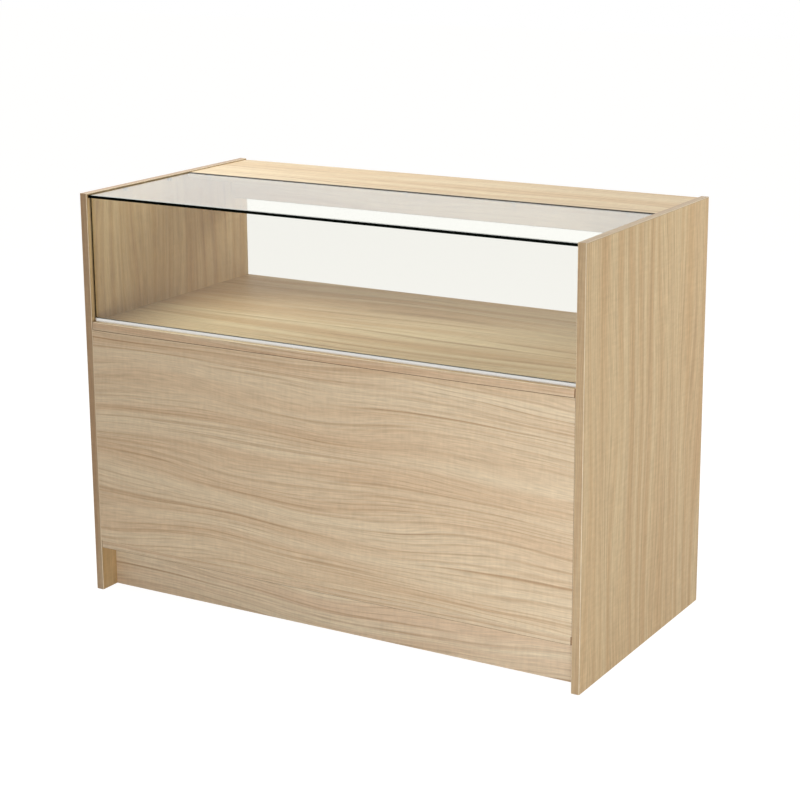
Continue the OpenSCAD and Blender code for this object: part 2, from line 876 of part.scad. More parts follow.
module right_pull() {
    color(nickel) translate([lock_x, door_out, pull_z]) rotate([-90, 0, 0]) difference() {
        union() {
            translate([0, 0, -pull_depth]) cylinder(d = pull_d, h = pull_depth);
            cylinder(d = pull_d + 2 * pull_rim, h = pull_rim_t);
        }
        translate([0, 0, pull_wall - pull_depth])
            cylinder(d = pull_d - 2 * pull_wall, h = pull_depth - pull_wall);
        intersection() {
            cylinder(d = pull_d - 2 * pull_wall, h = pull_rim_t + over);
            translate([pull_lip - pull_d / 2, -pull_d, -over]) cube([pull_d, 2 * pull_d, 4 * over]);
        }
    }
}

// Lock: local +Z runs outwards from the door's outer face along the lock's axis
module at_lock() {
    translate([lock_x, door_out, lock_z]) rotate([-90, 0, 0]) children();
}

module right_housing() {
    color(nickel) at_lock() difference() {
        union() {
            cylinder(d = lock_flange_d, h = lock_flange_t);
            translate([0, 0, -door_t - lock_tail]) cylinder(d = lock_d, h = door_t + lock_tail);
        }
        translate([0, 0, -door_t - lock_tail - over])
            cylinder(d = plug_d + 2 * run_gap, h = door_t + lock_tail + lock_flange_t + 2 * over);
    }
}

module right_nut() {
    color(zinc) at_lock() translate([0, 0, -door_t - nut_t]) difference() {
        cylinder(d = nut_flats / cos(30), h = nut_t, $fn = 6);
        translate([0, 0, -over]) cylinder(d = lock_d + 2 * fit, h = nut_t + 2 * over);
    }
}

// Round end of the plug with two flats, or the hole in the cam for it
module plug_neck(gap = 0) {
    intersection() {
        translate([0, 0, -cam_t - gap]) cylinder(d = plug_neck_d + 2 * gap, h = cam_t + 2 * gap);
        translate([-plug_neck_d, -plug_neck_flat / 2 - gap, -cam_t - over])
            cube([2 * plug_neck_d, plug_neck_flat + 2 * gap, cam_t + 2 * over]);
    }
}

module right_plug() {
    color(nickel) at_lock() difference() {
        union() {
            translate([0, 0, -plug_back]) cylinder(d = plug_d, h = plug_back + lock_flange_t);
            translate([0, 0, -plug_back]) plug_neck();
        }
        translate([-key_slot.x / 2, -key_slot.y / 2, lock_flange_t - key_slot.z])
            cube(key_slot + [0, 0, over]);
        translate([0, 0, -plug_back - cam_t]) bore(screw_d, cam_screw_l + past);
    }
}

// The cam points away from the partition at rest, and up behind its strike when turned
module right_cam() {
    tip = cam_reach - cam_w / 2;
    color(zinc) at_lock() translate([0, 0, -plug_back]) difference() {
        translate([0, 0, -cam_t]) {
            cylinder(d = cam_w, h = cam_t);
            translate([0, -cam_w / 2, 0]) cube([tip, cam_w, cam_t]);
            translate([tip, 0, 0]) cylinder(d = cam_w, h = cam_t);
        }
        plug_neck(fit);
    }
}

module right_screw() {
    color(zinc) at_lock() translate([0, 0, -plug_back - cam_t]) difference() {
        union() {
            translate([0, 0, -cam_screw_head_t]) cylinder(d = cam_screw_head_d, h = cam_screw_head_t);
            cylinder(d = screw_d, h = cam_screw_l);
        }
        for (turn = [0, 90]) rotate(turn)
            translate([-cam_screw_head_d / 4, -cam_slot_w / 2, -cam_screw_head_t - over])
                cube([cam_screw_head_d / 2, cam_slot_w, 2 * over]);
    }
}

module right_plate() {
    color(nickel) translate([catch_x - catch_size.x / 2, door_in - catch_plate_t, deck_under - catch_size.z])
        cube([catch_size.x, catch_plate_t, catch_plate_h]);
}

module left_door() { mirror([1, 0, 0]) right_door_board(); }
module left_door_edging() { mirror([1, 0, 0]) right_door_strips(); }
module left_door_bushes() { mirror([1, 0, 0]) right_bushes(); }
module left_cup_pull() { mirror([1, 0, 0]) right_pull(); }
module left_lock_housing() { mirror([1, 0, 0]) right_housing(); }
module left_lock_nut() { mirror([1, 0, 0]) right_nut(); }
module left_catch_plate() { mirror([1, 0, 0]) right_plate(); }
module left_lock_plug() { mirror([1, 0, 0]) right_plug(); }
module left_lock_cam() { mirror([1, 0, 0]) right_cam(); }
module left_cam_screw() { mirror([1, 0, 0]) right_screw(); }
module right_door() { right_door_board(); }
module right_door_edging() { right_door_strips(); }
module right_door_bushes() { right_bushes(); }
module right_cup_pull() { right_pull(); }
module right_lock_housing() { right_housing(); }
module right_lock_nut() { right_nut(); }
module right_catch_plate() { right_plate(); }
module right_lock_plug() { right_plug(); }
module right_lock_cam() { right_cam(); }
module right_cam_screw() { right_screw(); }

left_side_panel();
right_side_panel();
left_side_edging();
right_side_edging();
bottom_panel();
bottom_edging();
display_deck();
deck_edging();
front_panel();
front_plinth();
rear_plinth();
centre_partition();
partition_edging();
rear_top_board();
top_board_edging();
header_rail();
header_edging();
top_glass();
front_glass();
pane_bond();
glass_channel();
channel_liner();
channel_screws();
glass_ledge();
ledge_screws();
glass_studs();
glass_pads();
left_shelf();
right_shelf();
shelf_edging();
shelf_pins();
cam_discs();
cam_bolts();
wood_dowels();
pivot_pins();
pivot_screws();
lock_strikes();
strike_screws();
magnetic_catches();
catch_screws();
left_door();
left_door_edging();
left_door_bushes();
left_cup_pull();
left_lock_housing();
left_lock_nut();
left_catch_plate();
left_lock_plug();
left_lock_cam();
left_cam_screw();
right_door();
right_door_edging();
right_door_bushes();
right_cup_pull();
right_lock_housing();
right_lock_nut();
right_catch_plate();
right_lock_plug();
right_lock_cam();
right_cam_screw();
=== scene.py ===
"""Looks of a shop counter with a glazed display compartment above a lockable cupboard.

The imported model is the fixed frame. Its boards, strips and metal parts keep their solids and get
their finishes here. The two panes, the cup pulls, the locks, the catches, the screws, the shelf pins
and the dowels are made again with the small forms that the eye expects of them.
"""
import logging
import math
from dataclasses import dataclass, field
from enum import Enum
from functools import partial
from typing import Callable, Iterable, Optional, Sequence

import bmesh
import bpy
from bmesh.types import BMEdge, BMesh, BMVert
from bpy.types import Material, Node, NodeSocket, NodeTree, Object
from mathutils import Matrix, Vector


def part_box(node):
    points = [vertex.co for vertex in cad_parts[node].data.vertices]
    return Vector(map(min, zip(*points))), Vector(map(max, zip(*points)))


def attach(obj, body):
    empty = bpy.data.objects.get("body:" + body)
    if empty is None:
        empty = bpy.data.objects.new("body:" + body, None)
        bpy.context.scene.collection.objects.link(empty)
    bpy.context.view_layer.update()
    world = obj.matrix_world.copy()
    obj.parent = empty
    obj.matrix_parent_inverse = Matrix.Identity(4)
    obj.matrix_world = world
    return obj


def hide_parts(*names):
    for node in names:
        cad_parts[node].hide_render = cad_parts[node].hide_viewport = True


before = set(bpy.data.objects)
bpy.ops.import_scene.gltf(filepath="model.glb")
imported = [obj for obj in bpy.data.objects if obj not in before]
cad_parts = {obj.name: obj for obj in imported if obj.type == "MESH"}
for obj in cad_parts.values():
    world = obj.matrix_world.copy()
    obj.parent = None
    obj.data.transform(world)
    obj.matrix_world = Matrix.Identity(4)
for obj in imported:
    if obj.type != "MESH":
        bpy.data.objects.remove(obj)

LOG = logging.getLogger("counter")
MM = 0.001
Colour = tuple[float, float, float, float]
Triple = tuple[float, float, float]
Range = tuple[float, float]
Point = tuple[float, float]
Box = tuple[Vector, Vector]
Source = Node | NodeSocket
Inputs = dict[str | int, object]
AddNode = Callable[..., Node]
SMOOTH = {"interpolation_type": "SMOOTHSTEP"}


def linear(hex_code: str) -> Colour:
    """Turns an sRGB hex value into the linear colour that a shader socket takes.

    Args:
        hex_code: Six hex digits, as in "C8B08A".

    Returns:
        Linear red, green, blue and an alpha of 1.
    """
    parts = [int(hex_code[i : i + 2], 16) / 255 for i in (0, 2, 4)]
    r, g, b = (p / 12.92 if p <= 0.04045 else ((p + 0.055) / 1.055) ** 2.4 for p in parts)
    return (r, g, b, 1.0)


def add_node(tree: NodeTree, kind: str, inputs: Optional[Inputs] = None, **settings: object) -> Node:
    """Adds one node with its settings, values and links.

    Args:
        tree: The node tree to add to.
        kind: The node's type, without the ShaderNode that every one begins with.
        inputs: By input name or number, a value, a socket, or a node for its first output.
        settings: Properties of the node itself.

    Returns:
        The new node.
    """
    node = tree.nodes.new("ShaderNode" + kind)
    for name, value in settings.items():
        setattr(node, name, value)
    for key, value in (inputs or {}).items():
        source = value.outputs[0] if isinstance(value, Node) else value
        if isinstance(source, NodeSocket):
            tree.links.new(source, node.inputs[key])
        else:
            node.inputs[key].default_value = source
    return node


def new_material(name: str) -> tuple[Material, AddNode]:
    """Starts an empty node material.

    Args:
        name: The material's name, which says what it is made of.

    Returns:
        The material, and add_node for its tree.
    """
    material = bpy.data.materials.new(name)
    material.use_nodes = True
    material.node_tree.nodes.clear()
    return material, partial(add_node, material.node_tree)


@dataclass(frozen=True)
class Skin:
    """How the marks that its making left show in a surface: in its tone, its sheen and its height."""

    # Factor of the colour, and roughness, at the lowest and at the highest value of the marks
    tone: Range
    roughness: Range
    bump: float
    bump_mm: float
    # Values of the marks between which the tone changes
    marks_seen: Range = (0.0, 1.0)

    def finish(self, add: AddNode, marks: Source, colour: object, inputs: Inputs) -> None:
        """Ends a material with its shader.

        Args:
            add: Adds a node to the tree.
            marks: The marks, as a value from 0 to 1.
            colour: Linear red, green and blue, or the socket that gives them.
            inputs: The shader's other inputs.
        """
        tone = add("MapRange", {
            "Value": marks,
            "From Min": self.marks_seen[0],
            "From Max": self.marks_seen[1],
            "To Min": self.tone[0],
            "To Max": self.tone[1],
        })
        rough = add("MapRange", {"Value": marks, "To Min": self.roughness[0], "To Max": self.roughness[1]})
        toned = add("VectorMath", {0: colour, "Scale": tone}, operation="SCALE")
        bump = add("Bump", {"Height": marks, "Strength": self.bump, "Distance": self.bump_mm * MM})
        shader = add("BsdfPrincipled", {"Base Color": toned, "Roughness": rough, "Normal": bump, **inputs})
        add("OutputMaterial", {"Surface": shader})


@dataclass(frozen=True)
class Cells:
    """Noise in cells with a real length along the grain and a real width across it."""

    length_mm: float
    width_mm: float
    octaves: float
    # Noise values between which a pattern fades in. None keeps the bare noise, about 0.3 to 0.7.
    fade: Optional[Range] = None

    def add_to(self, add: AddNode, along: Source, across: Source) -> Node:
        """Adds the noise to a material.

        Args:
            add: Adds a node to the tree.
            along: Distance along the grain.
            across: Distance across the grain.

        Returns:
            The node that gives the noise, or how strong the pattern is, from 0 to 1.
        """
        scaled = [
            add("Math", {0: axis, 1: 1000 / size}, operation="MULTIPLY")
            for axis, size in ((along, self.length_mm), (across, self.width_mm))
        ]
        at = add("CombineXYZ", {0: scaled[0], 1: scaled[1]})
        noise = add("TexNoise", {"Vector": at, "Scale": 1.0, "Detail": self.octaves})
        if self.fade is None:
            return noise
        start, end = self.fade
        return add("MapRange", {"Value": noise, "From Min": start, "From Max": end}, **SMOOTH)


class Side(Enum):
    """Left and right as a customer sees the counter, as the sign of X."""

    LEFT = -1
    RIGHT = 1

    @property
    def word(self) -> str:
        """The side's name in the names of nodes and bodies."""
        return self.name.lower()


class Grain(Enum):
    """Direction that a board's grain runs in, as the turn that brings it onto the pattern's X."""

    ACROSS = (0.0, 0.0, 0.0)
    BACK = (0.0, 0.0, -math.pi / 2)
    UPRIGHT = (0.0, math.pi / 2, 0.0)


# Places where the strong growth lines, the packs of thin ones and the bundles of fibres show
CLEAR_LINES = Cells(480.0, 60.0, 1.0, (0.42, 0.62))
THIN_PACKS = Cells(540.0, 75.0, 1.0, (0.60, 0.42))
FIBRE_BUNDLES = Cells(620.0, 90.0, 1.0, (0.32, 0.58))
# Share of a line's spacing that stays pale before it, for a strong and for a thin line
STRONG_PALE, THIN_PALE = 0.56, 0.46
# Share of the spacing where a line is darkest, where it has ended, and how late it darkens
DARKEST, END, LATENESS = 0.86, (0.99, 0.88), 2.4
# How far the spacing of the lines drifts, in spacings
DRIFT = 2.6
# Short marks across the grain, as the plate's pores leave them, and their share in the streaks
PORES, PORES_SHARE = Cells(8.0, 30.0, 2.0), 0.25
# Largest part of a strip's normal between which its pale corner, partly a painted highlight, fades
# in, and the normal's height between which a corner faces down and takes painted shade
ROUNDED, FACING_DOWN = (0.995, 0.93), (-0.10, -0.35)
# Faces round the axis of a small turned piece, of a lock and of a pull
SMALL_STEPS, LOCK_STEPS, PULL_STEPS = 24, 48, 64


@dataclass(frozen=True)
class OakMelamine:
    """Oak grained melamine board: printed paper pressed onto chipboard with a satin plate.

    The eye gets soft growth lines that wander along the board and close in a few pointed loops,
    bands that drift between a yellowish and a pinkish tone, fine streaks and a low, even sheen.
    """

    name: str
    grain: Grain
    shift_mm: Triple
    pale: str = "DBCAAC"
    warm: str = "D2BA9A"
    line: str = "A6815C"
    # Length and width of one bend of the growth lines, and how far it pushes them aside
    bend_mm: Range = (600.0, 150.0)
    bend_depth_mm: float = 88.0
    # Mean spacing of the strong growth lines, of the thin ones that run in packs, and of the fibres
    line_mm: float = 30.0
    thin_mm: float = 11.0
    fine_mm: float = 6.5
    # Width of the pinkish and yellowish bands
    band_mm: float = 46.0
    strength: float = 0.42
    thin_strength: float = 0.30
    fine_strength: float = 0.24
    # Length and width of one streak. Real ones are 0.3 mm wide, too fine to show at this distance,
    # so they are drawn 2.6 mm wide.
    streak_mm: Range = (50.0, 2.6)
    streak: float = 0.15
    roughness: float = 0.50
    # The pale body colour that a strip shows where its printed face is milled round, and a painted highlight
    core_and_highlight: Optional[str] = None
    # Colour of the glue line on a corner that faces down, darkened as painted shade
    glue_and_shade: str = "725A42"
    # Number of the axis that the board's thickness lies along. Its cut edges and its bores show chips.
    thin_axis: Optional[int] = None
    chips: str = "8A6848"
    # Chips of 2 to 4 mm, each a little lighter or darker than its neighbours
    chips_per_m: float = 320.0
    chip_tones: Range = (0.75, 1.3)
    # A strip that runs up a board and over its top changes its grain past this height
    turn_above_mm: Optional[float] = None

    def material(self) -> Material:
        """Builds the board's material.

        Returns:
            The finished material.
        """
        material, add = new_material(self.name)
        along, across = self._axes(add)
        flow = self._flow(add, along, across)
        bands = Cells(1100.0, self.band_mm, 2.0, (0.33, 0.67)).add_to(add, along, flow)
        tones = {0: bands, 6: linear(self.pale), 7: linear(self.warm)}
        ground = add("Mix", tones, data_type="RGBA").outputs[2]
        # Each kind of line has its own places, strength and width
        fibres = Cells(900.0, self.fine_mm, 2.0, (0.45, 0.68)).add_to(add, along, flow)
        layers = (
            (self._growth_lines(add, along, flow, self.line_mm, STRONG_PALE), CLEAR_LINES, self.strength),
            (self._growth_lines(add, along, flow, self.thin_mm, THIN_PALE), THIN_PACKS, self.thin_strength),
            (fibres, FIBRE_BUNDLES, self.fine_strength),
        )
        dark: object = 0.0
        for lines, places, strength in layers:
            shown = add("Math", {0: lines, 1: places.add_to(add, along, flow)}, operation="MULTIPLY")
            dark = add("Math", {0: shown, 1: strength, 2: dark}, operation="MULTIPLY_ADD", use_clamp=True)
        colour = add("Mix", {0: dark, 6: ground, 7: linear(self.line)}, data_type="RGBA").outputs[2]
        if self.core_and_highlight is not None:
            colour = self._milled(add, colour)
        if self.thin_axis is not None:
            colour = self._cut(add, colour)
        streaks = Cells(*self.streak_mm, 3.0).add_to(add, along, flow)
        pores = PORES.add_to(add, along, flow)
        marks = add("Mix", {0: PORES_SHARE, 2: streaks, 3: pores}, data_type="FLOAT")
        skin = Skin(
            tone=(1 - self.streak, 1 + self.streak),
            roughness=(self.roughness + 0.07, self.roughness - 0.07),
            bump=0.10,
            bump_mm=0.3,
            marks_seen=(0.3, 0.7),
        )
        skin.finish(add, marks, colour, {"IOR": 1.5, "Specular IOR Level": 0.2})
        return material

    def _milled(self, add: AddNode, colour: NodeSocket) -> NodeSocket:
        """Shows the strip's pale body colour, also a painted highlight, on its rounded corners, where no
        axis faces the surface, and a dark glue line with painted shade on the corners that face down.

        Args:
            add: Adds a node to the tree.
            colour: Colour of the printed face.

        Returns:
            The colour with pale corners, and dark corners where they face down.
        """
        normal = add("TexCoord").outputs["Normal"]
        size = add("VectorMath", {0: normal}, operation="ABSOLUTE")
        axes = add("SeparateXYZ", {0: size}).outputs
        most = add("Math", {0: axes[0], 1: axes[1]}, operation="MAXIMUM")
        most = add("Math", {0: most, 1: axes[2]}, operation="MAXIMUM")
        height = add("SeparateXYZ", {0: normal}).outputs[2]
        # A corner that faces down is the joint to the board below: the dark line of the glue, with painted
        # shade
        corner, down = (
            add("MapRange", {"Value": value, "From Min": start, "From Max": end}, **SMOOTH)
            for value, (start, end) in ((most, ROUNDED), (height, FACING_DOWN))
        )
        body = add("Mix", {0: down, 6: linear(self.core_and_highlight), 7: linear(self.glue_and_shade)}, data_type="RGBA").outputs[2]
        return add("Mix", {0: corner, 6: colour, 7: body}, data_type="RGBA").outputs[2]

    def _cut(self, add: AddNode, colour: NodeSocket) -> NodeSocket:
        """Shows pressed chips wherever the surface isn't one of the board's two wide faces.

        Args:
            add: Adds a node to the tree.
            colour: Colour of the printed face.

        Returns:
            The colour with chips on the cut edges.
        """
        ends = add("TexCoord").outputs
        size = add("VectorMath", {0: ends["Normal"]}, operation="ABSOLUTE")
        facing = add("SeparateXYZ", {0: size}).outputs[self.thin_axis]
        edge = add("Math", {0: facing, 1: 0.5}, operation="LESS_THAN")
        chip = add("TexVoronoi", {"Vector": ends["Object"], "Scale": self.chips_per_m})
        shade = add("SeparateXYZ", {0: chip.outputs["Color"]})
        darkest, lightest = self.chip_tones
        level = add("MapRange", {"Value": shade, "To Min": darkest, "To Max": lightest})
        chips = add("VectorMath", {0: linear(self.chips)[:3], "Scale": level}, operation="SCALE")
        return add("Mix", {0: edge, 6: colour, 7: chips}, data_type="RGBA").outputs[2]

    def _axes(self, add: AddNode) -> tuple[Source, Source]:
        """Distances along and across the grain, shifted to this board's own place in the print.

        Args:
            add: Adds a node to the tree.

        Returns:
            The distance along the grain and the distance across it, in metres.
        """
        where = add("TexCoord").outputs["Object"]
        at = {"Vector": where, "Location": [v * MM for v in self.shift_mm]}
        place = add("Mapping", {**at, "Rotation": self.grain.value})
        if self.turn_above_mm is not None:
            lying = add("Mapping", {**at, "Rotation": Grain.BACK.value})
            height = add("SeparateXYZ", {0: where}).outputs[2]
            above = add("Math", {0: height, 1: self.turn_above_mm * MM}, operation="GREATER_THAN")
            place = add("Mix", {0: above, 4: place, 5: lying}, data_type="VECTOR").outputs[1]
        axes = add("SeparateXYZ", {0: place}).outputs
        return axes[0], add("Math", {0: axes[1], 1: axes[2]}, operation="ADD")

    def _flow(self, add: AddNode, along: Source, across: Source) -> Source:
        """Distance across the grain after wide bends and small wobbles.

        Args:
            add: Adds a node to the tree.
            along: Distance along the grain.
            across: Distance across the grain.

        Returns:
            The bent distance across the grain, in metres.
        """
        length, width = self.bend_mm
        depth = self.bend_depth_mm * MM
        wobble = Cells(length / 2.6, width / 2.2, 0.0)
        flow = across
        for cells, push in ((Cells(length, width, 0.0), depth), (wobble, depth / 7)):
            bend = cells.add_to(add, along, across)
            flow = add("Math", {0: bend, 1: push, 2: flow}, operation="MULTIPLY_ADD")
        return flow

    def _growth_lines(
        self, add: AddNode, along: Source, flow: Source, spacing_mm: float, pale_share: float
    ) -> Node:
        """Growth lines that darken slowly and end sharply, as late wood does, at uneven spacing.

        Args:
            add: Adds a node to the tree.
            along: Distance along the grain.
            flow: Bent distance across the grain.
            spacing_mm: Mean spacing of the lines.
            pale_share: Share of the spacing that stays pale.

        Returns:
            The node that gives the darkness, from 0 to 1.
        """
        even = add("Math", {0: flow, 1: 1000 / spacing_mm}, operation="MULTIPLY")
        uneven = Cells(2400.0, 3 * spacing_mm, 1.0).add_to(add, along, flow)
        years = add("Math", {0: uneven, 1: DRIFT, 2: even}, operation="MULTIPLY_ADD")
        part = add("Math", {0: years}, operation="FRACT")
        rise, fall = (
            add("MapRange", {"Value": part, "From Min": start, "From Max": end}, **SMOOTH)
            for start, end in ((pale_share, DARKEST), END)
        )
        late = add("Math", {0: rise, 1: LATENESS}, operation="POWER")
        return add("Math", {0: late, 1: fall}, operation="MULTIPLY")


@dataclass(frozen=True)
class OakStrip(OakMelamine):
    """Edge strip with the boards' print on plastic.

    The eye gets a straighter grain, a little more gloss, and a pale line, partly a painted highlight, where
    the corner is milled.
    """

    pale: str = "D6C5A8"
    warm: str = "CBB091"
    bend_mm: Range = (900.0, 300.0)
    bend_depth_mm: float = 60.0
    line_mm: float = 13.0
    fine_mm: float = 6.0
    band_mm: float = 22.0
    strength: float = 0.35
    roughness: float = 0.36
    # Pale body colour of the milled corner, also a painted highlight
    core_and_highlight: Optional[str] = "E6D7B8"


@dataclass(frozen=True)
class FloatGlass:
    """Clear float glass with ground and polished edges.

    The faces are all but colourless and mirror the room at a low angle. The edges are painted nearly
    black with a green cast, as painted shade: what is seen in them has gone the whole length of the pane.
    """

    shade: str = "FAFBF8"
    # Cast of the mirror image: a painted cream reflection, as the cream walls of a room would give
    cast: str = "FFFCF0"
    # Painted shade of the edges: nearly black with a green cast
    edge: str = "070B08"
    ior: float = 1.52
    # The faces are slightly uneven, in swells about 300 mm long
    swells_per_m: float = 3.3
    # Grinding marks 1 to 2 mm apart along the edge
    marks_per_m: float = 600.0

    def face(self, name: str, tint: str, mirror: float) -> Material:
        """Builds the clear faces' material, which lets the lamps through.

        Args:
            name: The material's name.
            tint: Colour of white light that has gone through the pane.
            mirror: Specular level, 0.5 for bare glass and less for a coated pane.

        Returns:
            The finished material.
        """
        material, add = new_material(name)
        where = add("TexCoord").outputs["Object"]
        swell = add("TexNoise", {"Vector": where, "Scale": self.swells_per_m, "Detail": 0.0})
        wave = add("Bump", {"Height": swell, "Strength": 0.02, "Distance": 0.2 * MM})
        glass = add("BsdfPrincipled", {
            "Base Color": linear(tint),
            "Roughness": 0.0,
            "IOR": self.ior,
            "Transmission Weight": 1.0,
            "Specular IOR Level": mirror,
            "Specular Tint": linear(self.cast),
            "Normal": wave,
        })
        clear = add("BsdfTransparent", {"Color": linear(self.shade)})
        rays = add("LightPath").outputs
        lamp = add("Math", {0: rays["Is Shadow Ray"], 1: rays["Is Diffuse Ray"]}, operation="MAXIMUM")
        mix = add("MixShader", {0: lamp, 1: glass, 2: clear})
        add("OutputMaterial", {"Surface": mix})
        return material

    def rim(self) -> Material:
        """Builds the edges' material, painted dark as painted shade.

        Returns:
            The finished material.
        """
        material, add = new_material("float_glass_ground_edge")
        where = add("TexCoord").outputs["Object"]
        marks = add("TexNoise", {"Vector": where, "Scale": self.marks_per_m, "Detail": 1.0})
        level = add("MapRange", {"Value": marks, "To Min": 0.5, "To Max": 1.8})
        colour = add("VectorMath", {0: linear(self.edge)[:3], "Scale": level}, operation="SCALE")
        # No mirror lobe: seen through the pane it would turn the whole edge white
        shader = add("BsdfPrincipled", {"Base Color": colour, "Roughness": 0.4, "Specular IOR Level": 0.0})
        add("OutputMaterial", {"Surface": shader})
        return material


class Brushing(Enum):
    """Direction that a metal was drawn or rolled in, as cells along X, Y and Z."""

    ALONG_X = (0.02, 1.0, 1.0)
    EVEN = (1.0, 1.0, 1.0)


@dataclass(frozen=True)
class SatinMetal:
    """A metal with a satin surface, such as anodised aluminium or nickel plated steel.

    The eye gets a soft bright line where it mirrors the room, and faint marks from its making.
    """

    name: str
    colour: str
    roughness: float
    brushing: Brushing = Brushing.EVEN
    # Spacing of the marks. Real drawing marks are finer, and are drawn this coarse to show.
    marks_mm: float = 1.2

    def material(self) -> Material:
        """Builds the metal's material.

        Returns:
            The finished material.
        """
        material, add = new_material(self.name)
        where = add("TexCoord").outputs["Object"]
        cells = [v * 1000 / self.marks_mm for v in self.brushing.value]
        drawn = add("VectorMath", {0: where, 1: cells}, operation="MULTIPLY")
        marks = add("TexNoise", {"Vector": drawn, "Scale": 1.0, "Detail": 2.0})
        skin = Skin((0.93, 1.05), (self.roughness - 0.08, self.roughness + 0.08), bump=0.08, bump_mm=0.1)
        skin.finish(add, marks, linear(self.colour)[:3], {"Metallic": 1.0})
        return material


@dataclass(frozen=True)
class MouldedPlastic:
    """Moulded nylon, vinyl or rubber, or a powder coat: a smooth skin with a slight orange peel."""

    name: str
    colour: str
    roughness: float
    clear: float = 0.0
    # Width of the dimples of the orange peel
    dimple_mm: float = 2.0

    def material(self) -> Material:
        """Builds the plastic's material.

        Returns:
            The finished material.
        """
        material, add = new_material(self.name)
        where = add("TexCoord").outputs["Object"]
        peel = add("TexNoise", {"Vector": where, "Scale": 1000 / self.dimple_mm, "Detail": 1.0})
        skin = Skin((0.96, 1.03), (self.roughness - 0.06, self.roughness + 0.06), bump=0.1, bump_mm=0.1)
        inputs = {"IOR": 1.5, "Transmission Weight": self.clear}
        skin.finish(add, peel, linear(self.colour)[:3], inputs)
        return material


def round_edges(bm: BMesh, edges: list[BMEdge], radius: float, segments: int) -> None:
    """Rounds edges of a mesh.

    Args:
        bm: The mesh.
        edges: Its edges to round.
        radius: Radius in millimetres.
        segments: Steps across each rounded edge.
    """
    bmesh.ops.bevel(
        bm,
        geom=edges,
        offset=radius,
        offset_type="OFFSET",
        affect="EDGES",
        segments=segments,
        profile=0.5,
        material=-1,
        clamp_overlap=True,
    )


def block(
    bm: BMesh, low: Sequence[float], high: Sequence[float], radius: float = 0.0, segments: int = 2
) -> None:
    """Adds a block between two corners, with its edges rounded.

    Args:
        bm: The mesh to add to.
        low: Lowest corner in millimetres.
        high: Highest corner in millimetres.
        radius: Radius of the edges.
        segments: Steps across each rounded edge.
    """
    low, high = Vector(low), Vector(high)
    made = bmesh.ops.create_cube(bm, size=1.0)["verts"]
    bmesh.ops.scale(bm, vec=high - low, verts=made)
    bmesh.ops.translate(bm, vec=(low + high) / 2, verts=made)
    if radius > 0:
        round_edges(bm, list(dict.fromkeys(e for v in made for e in v.link_edges)), radius, segments)


def lathe(outline: Iterable[Point], steps: int) -> BMesh:
    """Turns an outline of radius and height round the Z axis.

    Args:
        outline: Points of radius and height in millimetres. An end at radius 0 closes the shape.
        steps: Faces round the axis.

    Returns:
        The turned piece's mesh.
    """
    bm = bmesh.new()
    points = [bm.verts.new((r, 0.0, z)) for r, z in outline]
    edges = [bm.edges.new(pair) for pair in zip(points, points[1:])]
    bmesh.ops.spin(
        bm,
        geom=points + edges,
        cent=(0, 0, 0),
        axis=(0, 0, 1),
        angle=math.tau,
        steps=steps,
        use_merge=True,
        use_duplicate=False,
    )
    bmesh.ops.remove_doubles(bm, verts=bm.verts, dist=0.001)
    return bm


def join(whole: BMesh, part: BMesh, place: Matrix) -> None:
    """Adds one mesh to another.

    Args:
        whole: The mesh to add to.
        part: The mesh that is added, and freed.
        place: The place that the part is moved to.
    """
    bmesh.ops.transform(part, matrix=place, verts=part.verts)
    sheet = bpy.data.meshes.new("part_tmp")
    part.to_mesh(sheet)
    part.free()
    whole.from_mesh(sheet)
    bpy.data.meshes.remove(sheet)


def in_scene(name: str, data: Optional[bpy.types.ID]) -> Object:
    """Makes an object and puts it into the scene.

    Args:
        name: The object's name.
        data: Its mesh, lamp or camera.

    Returns:
        The object at the origin.
    """
    made = bpy.data.objects.new(name, data)
    bpy.context.scene.collection.objects.link(made)
    return made


def to_object(name: str, bm: BMesh) -> Object:
    """Makes an object of a mesh in metres.

    Args:
        name: The object's name.
        bm: The finished mesh, which is freed.

    Returns:
        The object at the origin.
    """
    mesh = bpy.data.meshes.new(name)
    bm.to_mesh(mesh)
    bm.free()
    return in_scene(name, mesh)


def bare_object(name: str, bm: BMesh, smooth_deg: float = 30.0) -> Object:
    """Makes an object of a mesh in millimetres, with its place in its mesh.

    Args:
        name: The object's name.
        bm: The finished mesh, which is freed.
        smooth_deg: Edges flatter than this are shaded smooth.

    Returns:
        The object at the origin.
    """
    bmesh.ops.scale(bm, vec=(MM, MM, MM), verts=bm.verts)
    bmesh.ops.recalc_face_normals(bm, faces=bm.faces)
    for face in bm.faces:
        face.smooth = True
    for edge in bm.edges:
        edge.smooth = len(edge.link_faces) == 2 and edge.calc_face_angle(0.0) < math.radians(smooth_deg)
    return to_object(name, bm)


def carve(target: Object, tool: Object) -> None:
    """Cuts one closed mesh out of another and removes the tool.

    Args:
        target: The piece that is cut.
        tool: The shape that is taken out of it.
    """
    modifier = target.modifiers.new("carve", "BOOLEAN")
    modifier.operation, modifier.solver, modifier.object = "DIFFERENCE", "MANIFOLD", tool
    bpy.context.view_layer.update()
    cut = bpy.data.meshes.new_from_object(target.evaluated_get(bpy.context.evaluated_depsgraph_get()))
    target.modifiers.remove(modifier)
    whole, target.data = target.data, cut
    bpy.data.meshes.remove(whole)
    bpy.data.meshes.remove(tool.data)


def settle(
    piece: Object, body: str, materials: Sequence[Material], nodes: Sequence[str]
) -> None:
    """Gives a new piece its materials, its body and the solids that it stands for.

    Args:
        piece: The new piece.
        body: The body that it moves with.
        materials: Its materials, in the order of its faces' numbers.
        nodes: The solids that it replaces.
    """
    for material in materials:
        piece.data.materials.append(material)
    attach(piece, body)
    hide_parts(*nodes)
    LOG.info("made %s on %s for %s: %d faces", piece.name, body, ", ".join(nodes), len(piece.data.polygons))


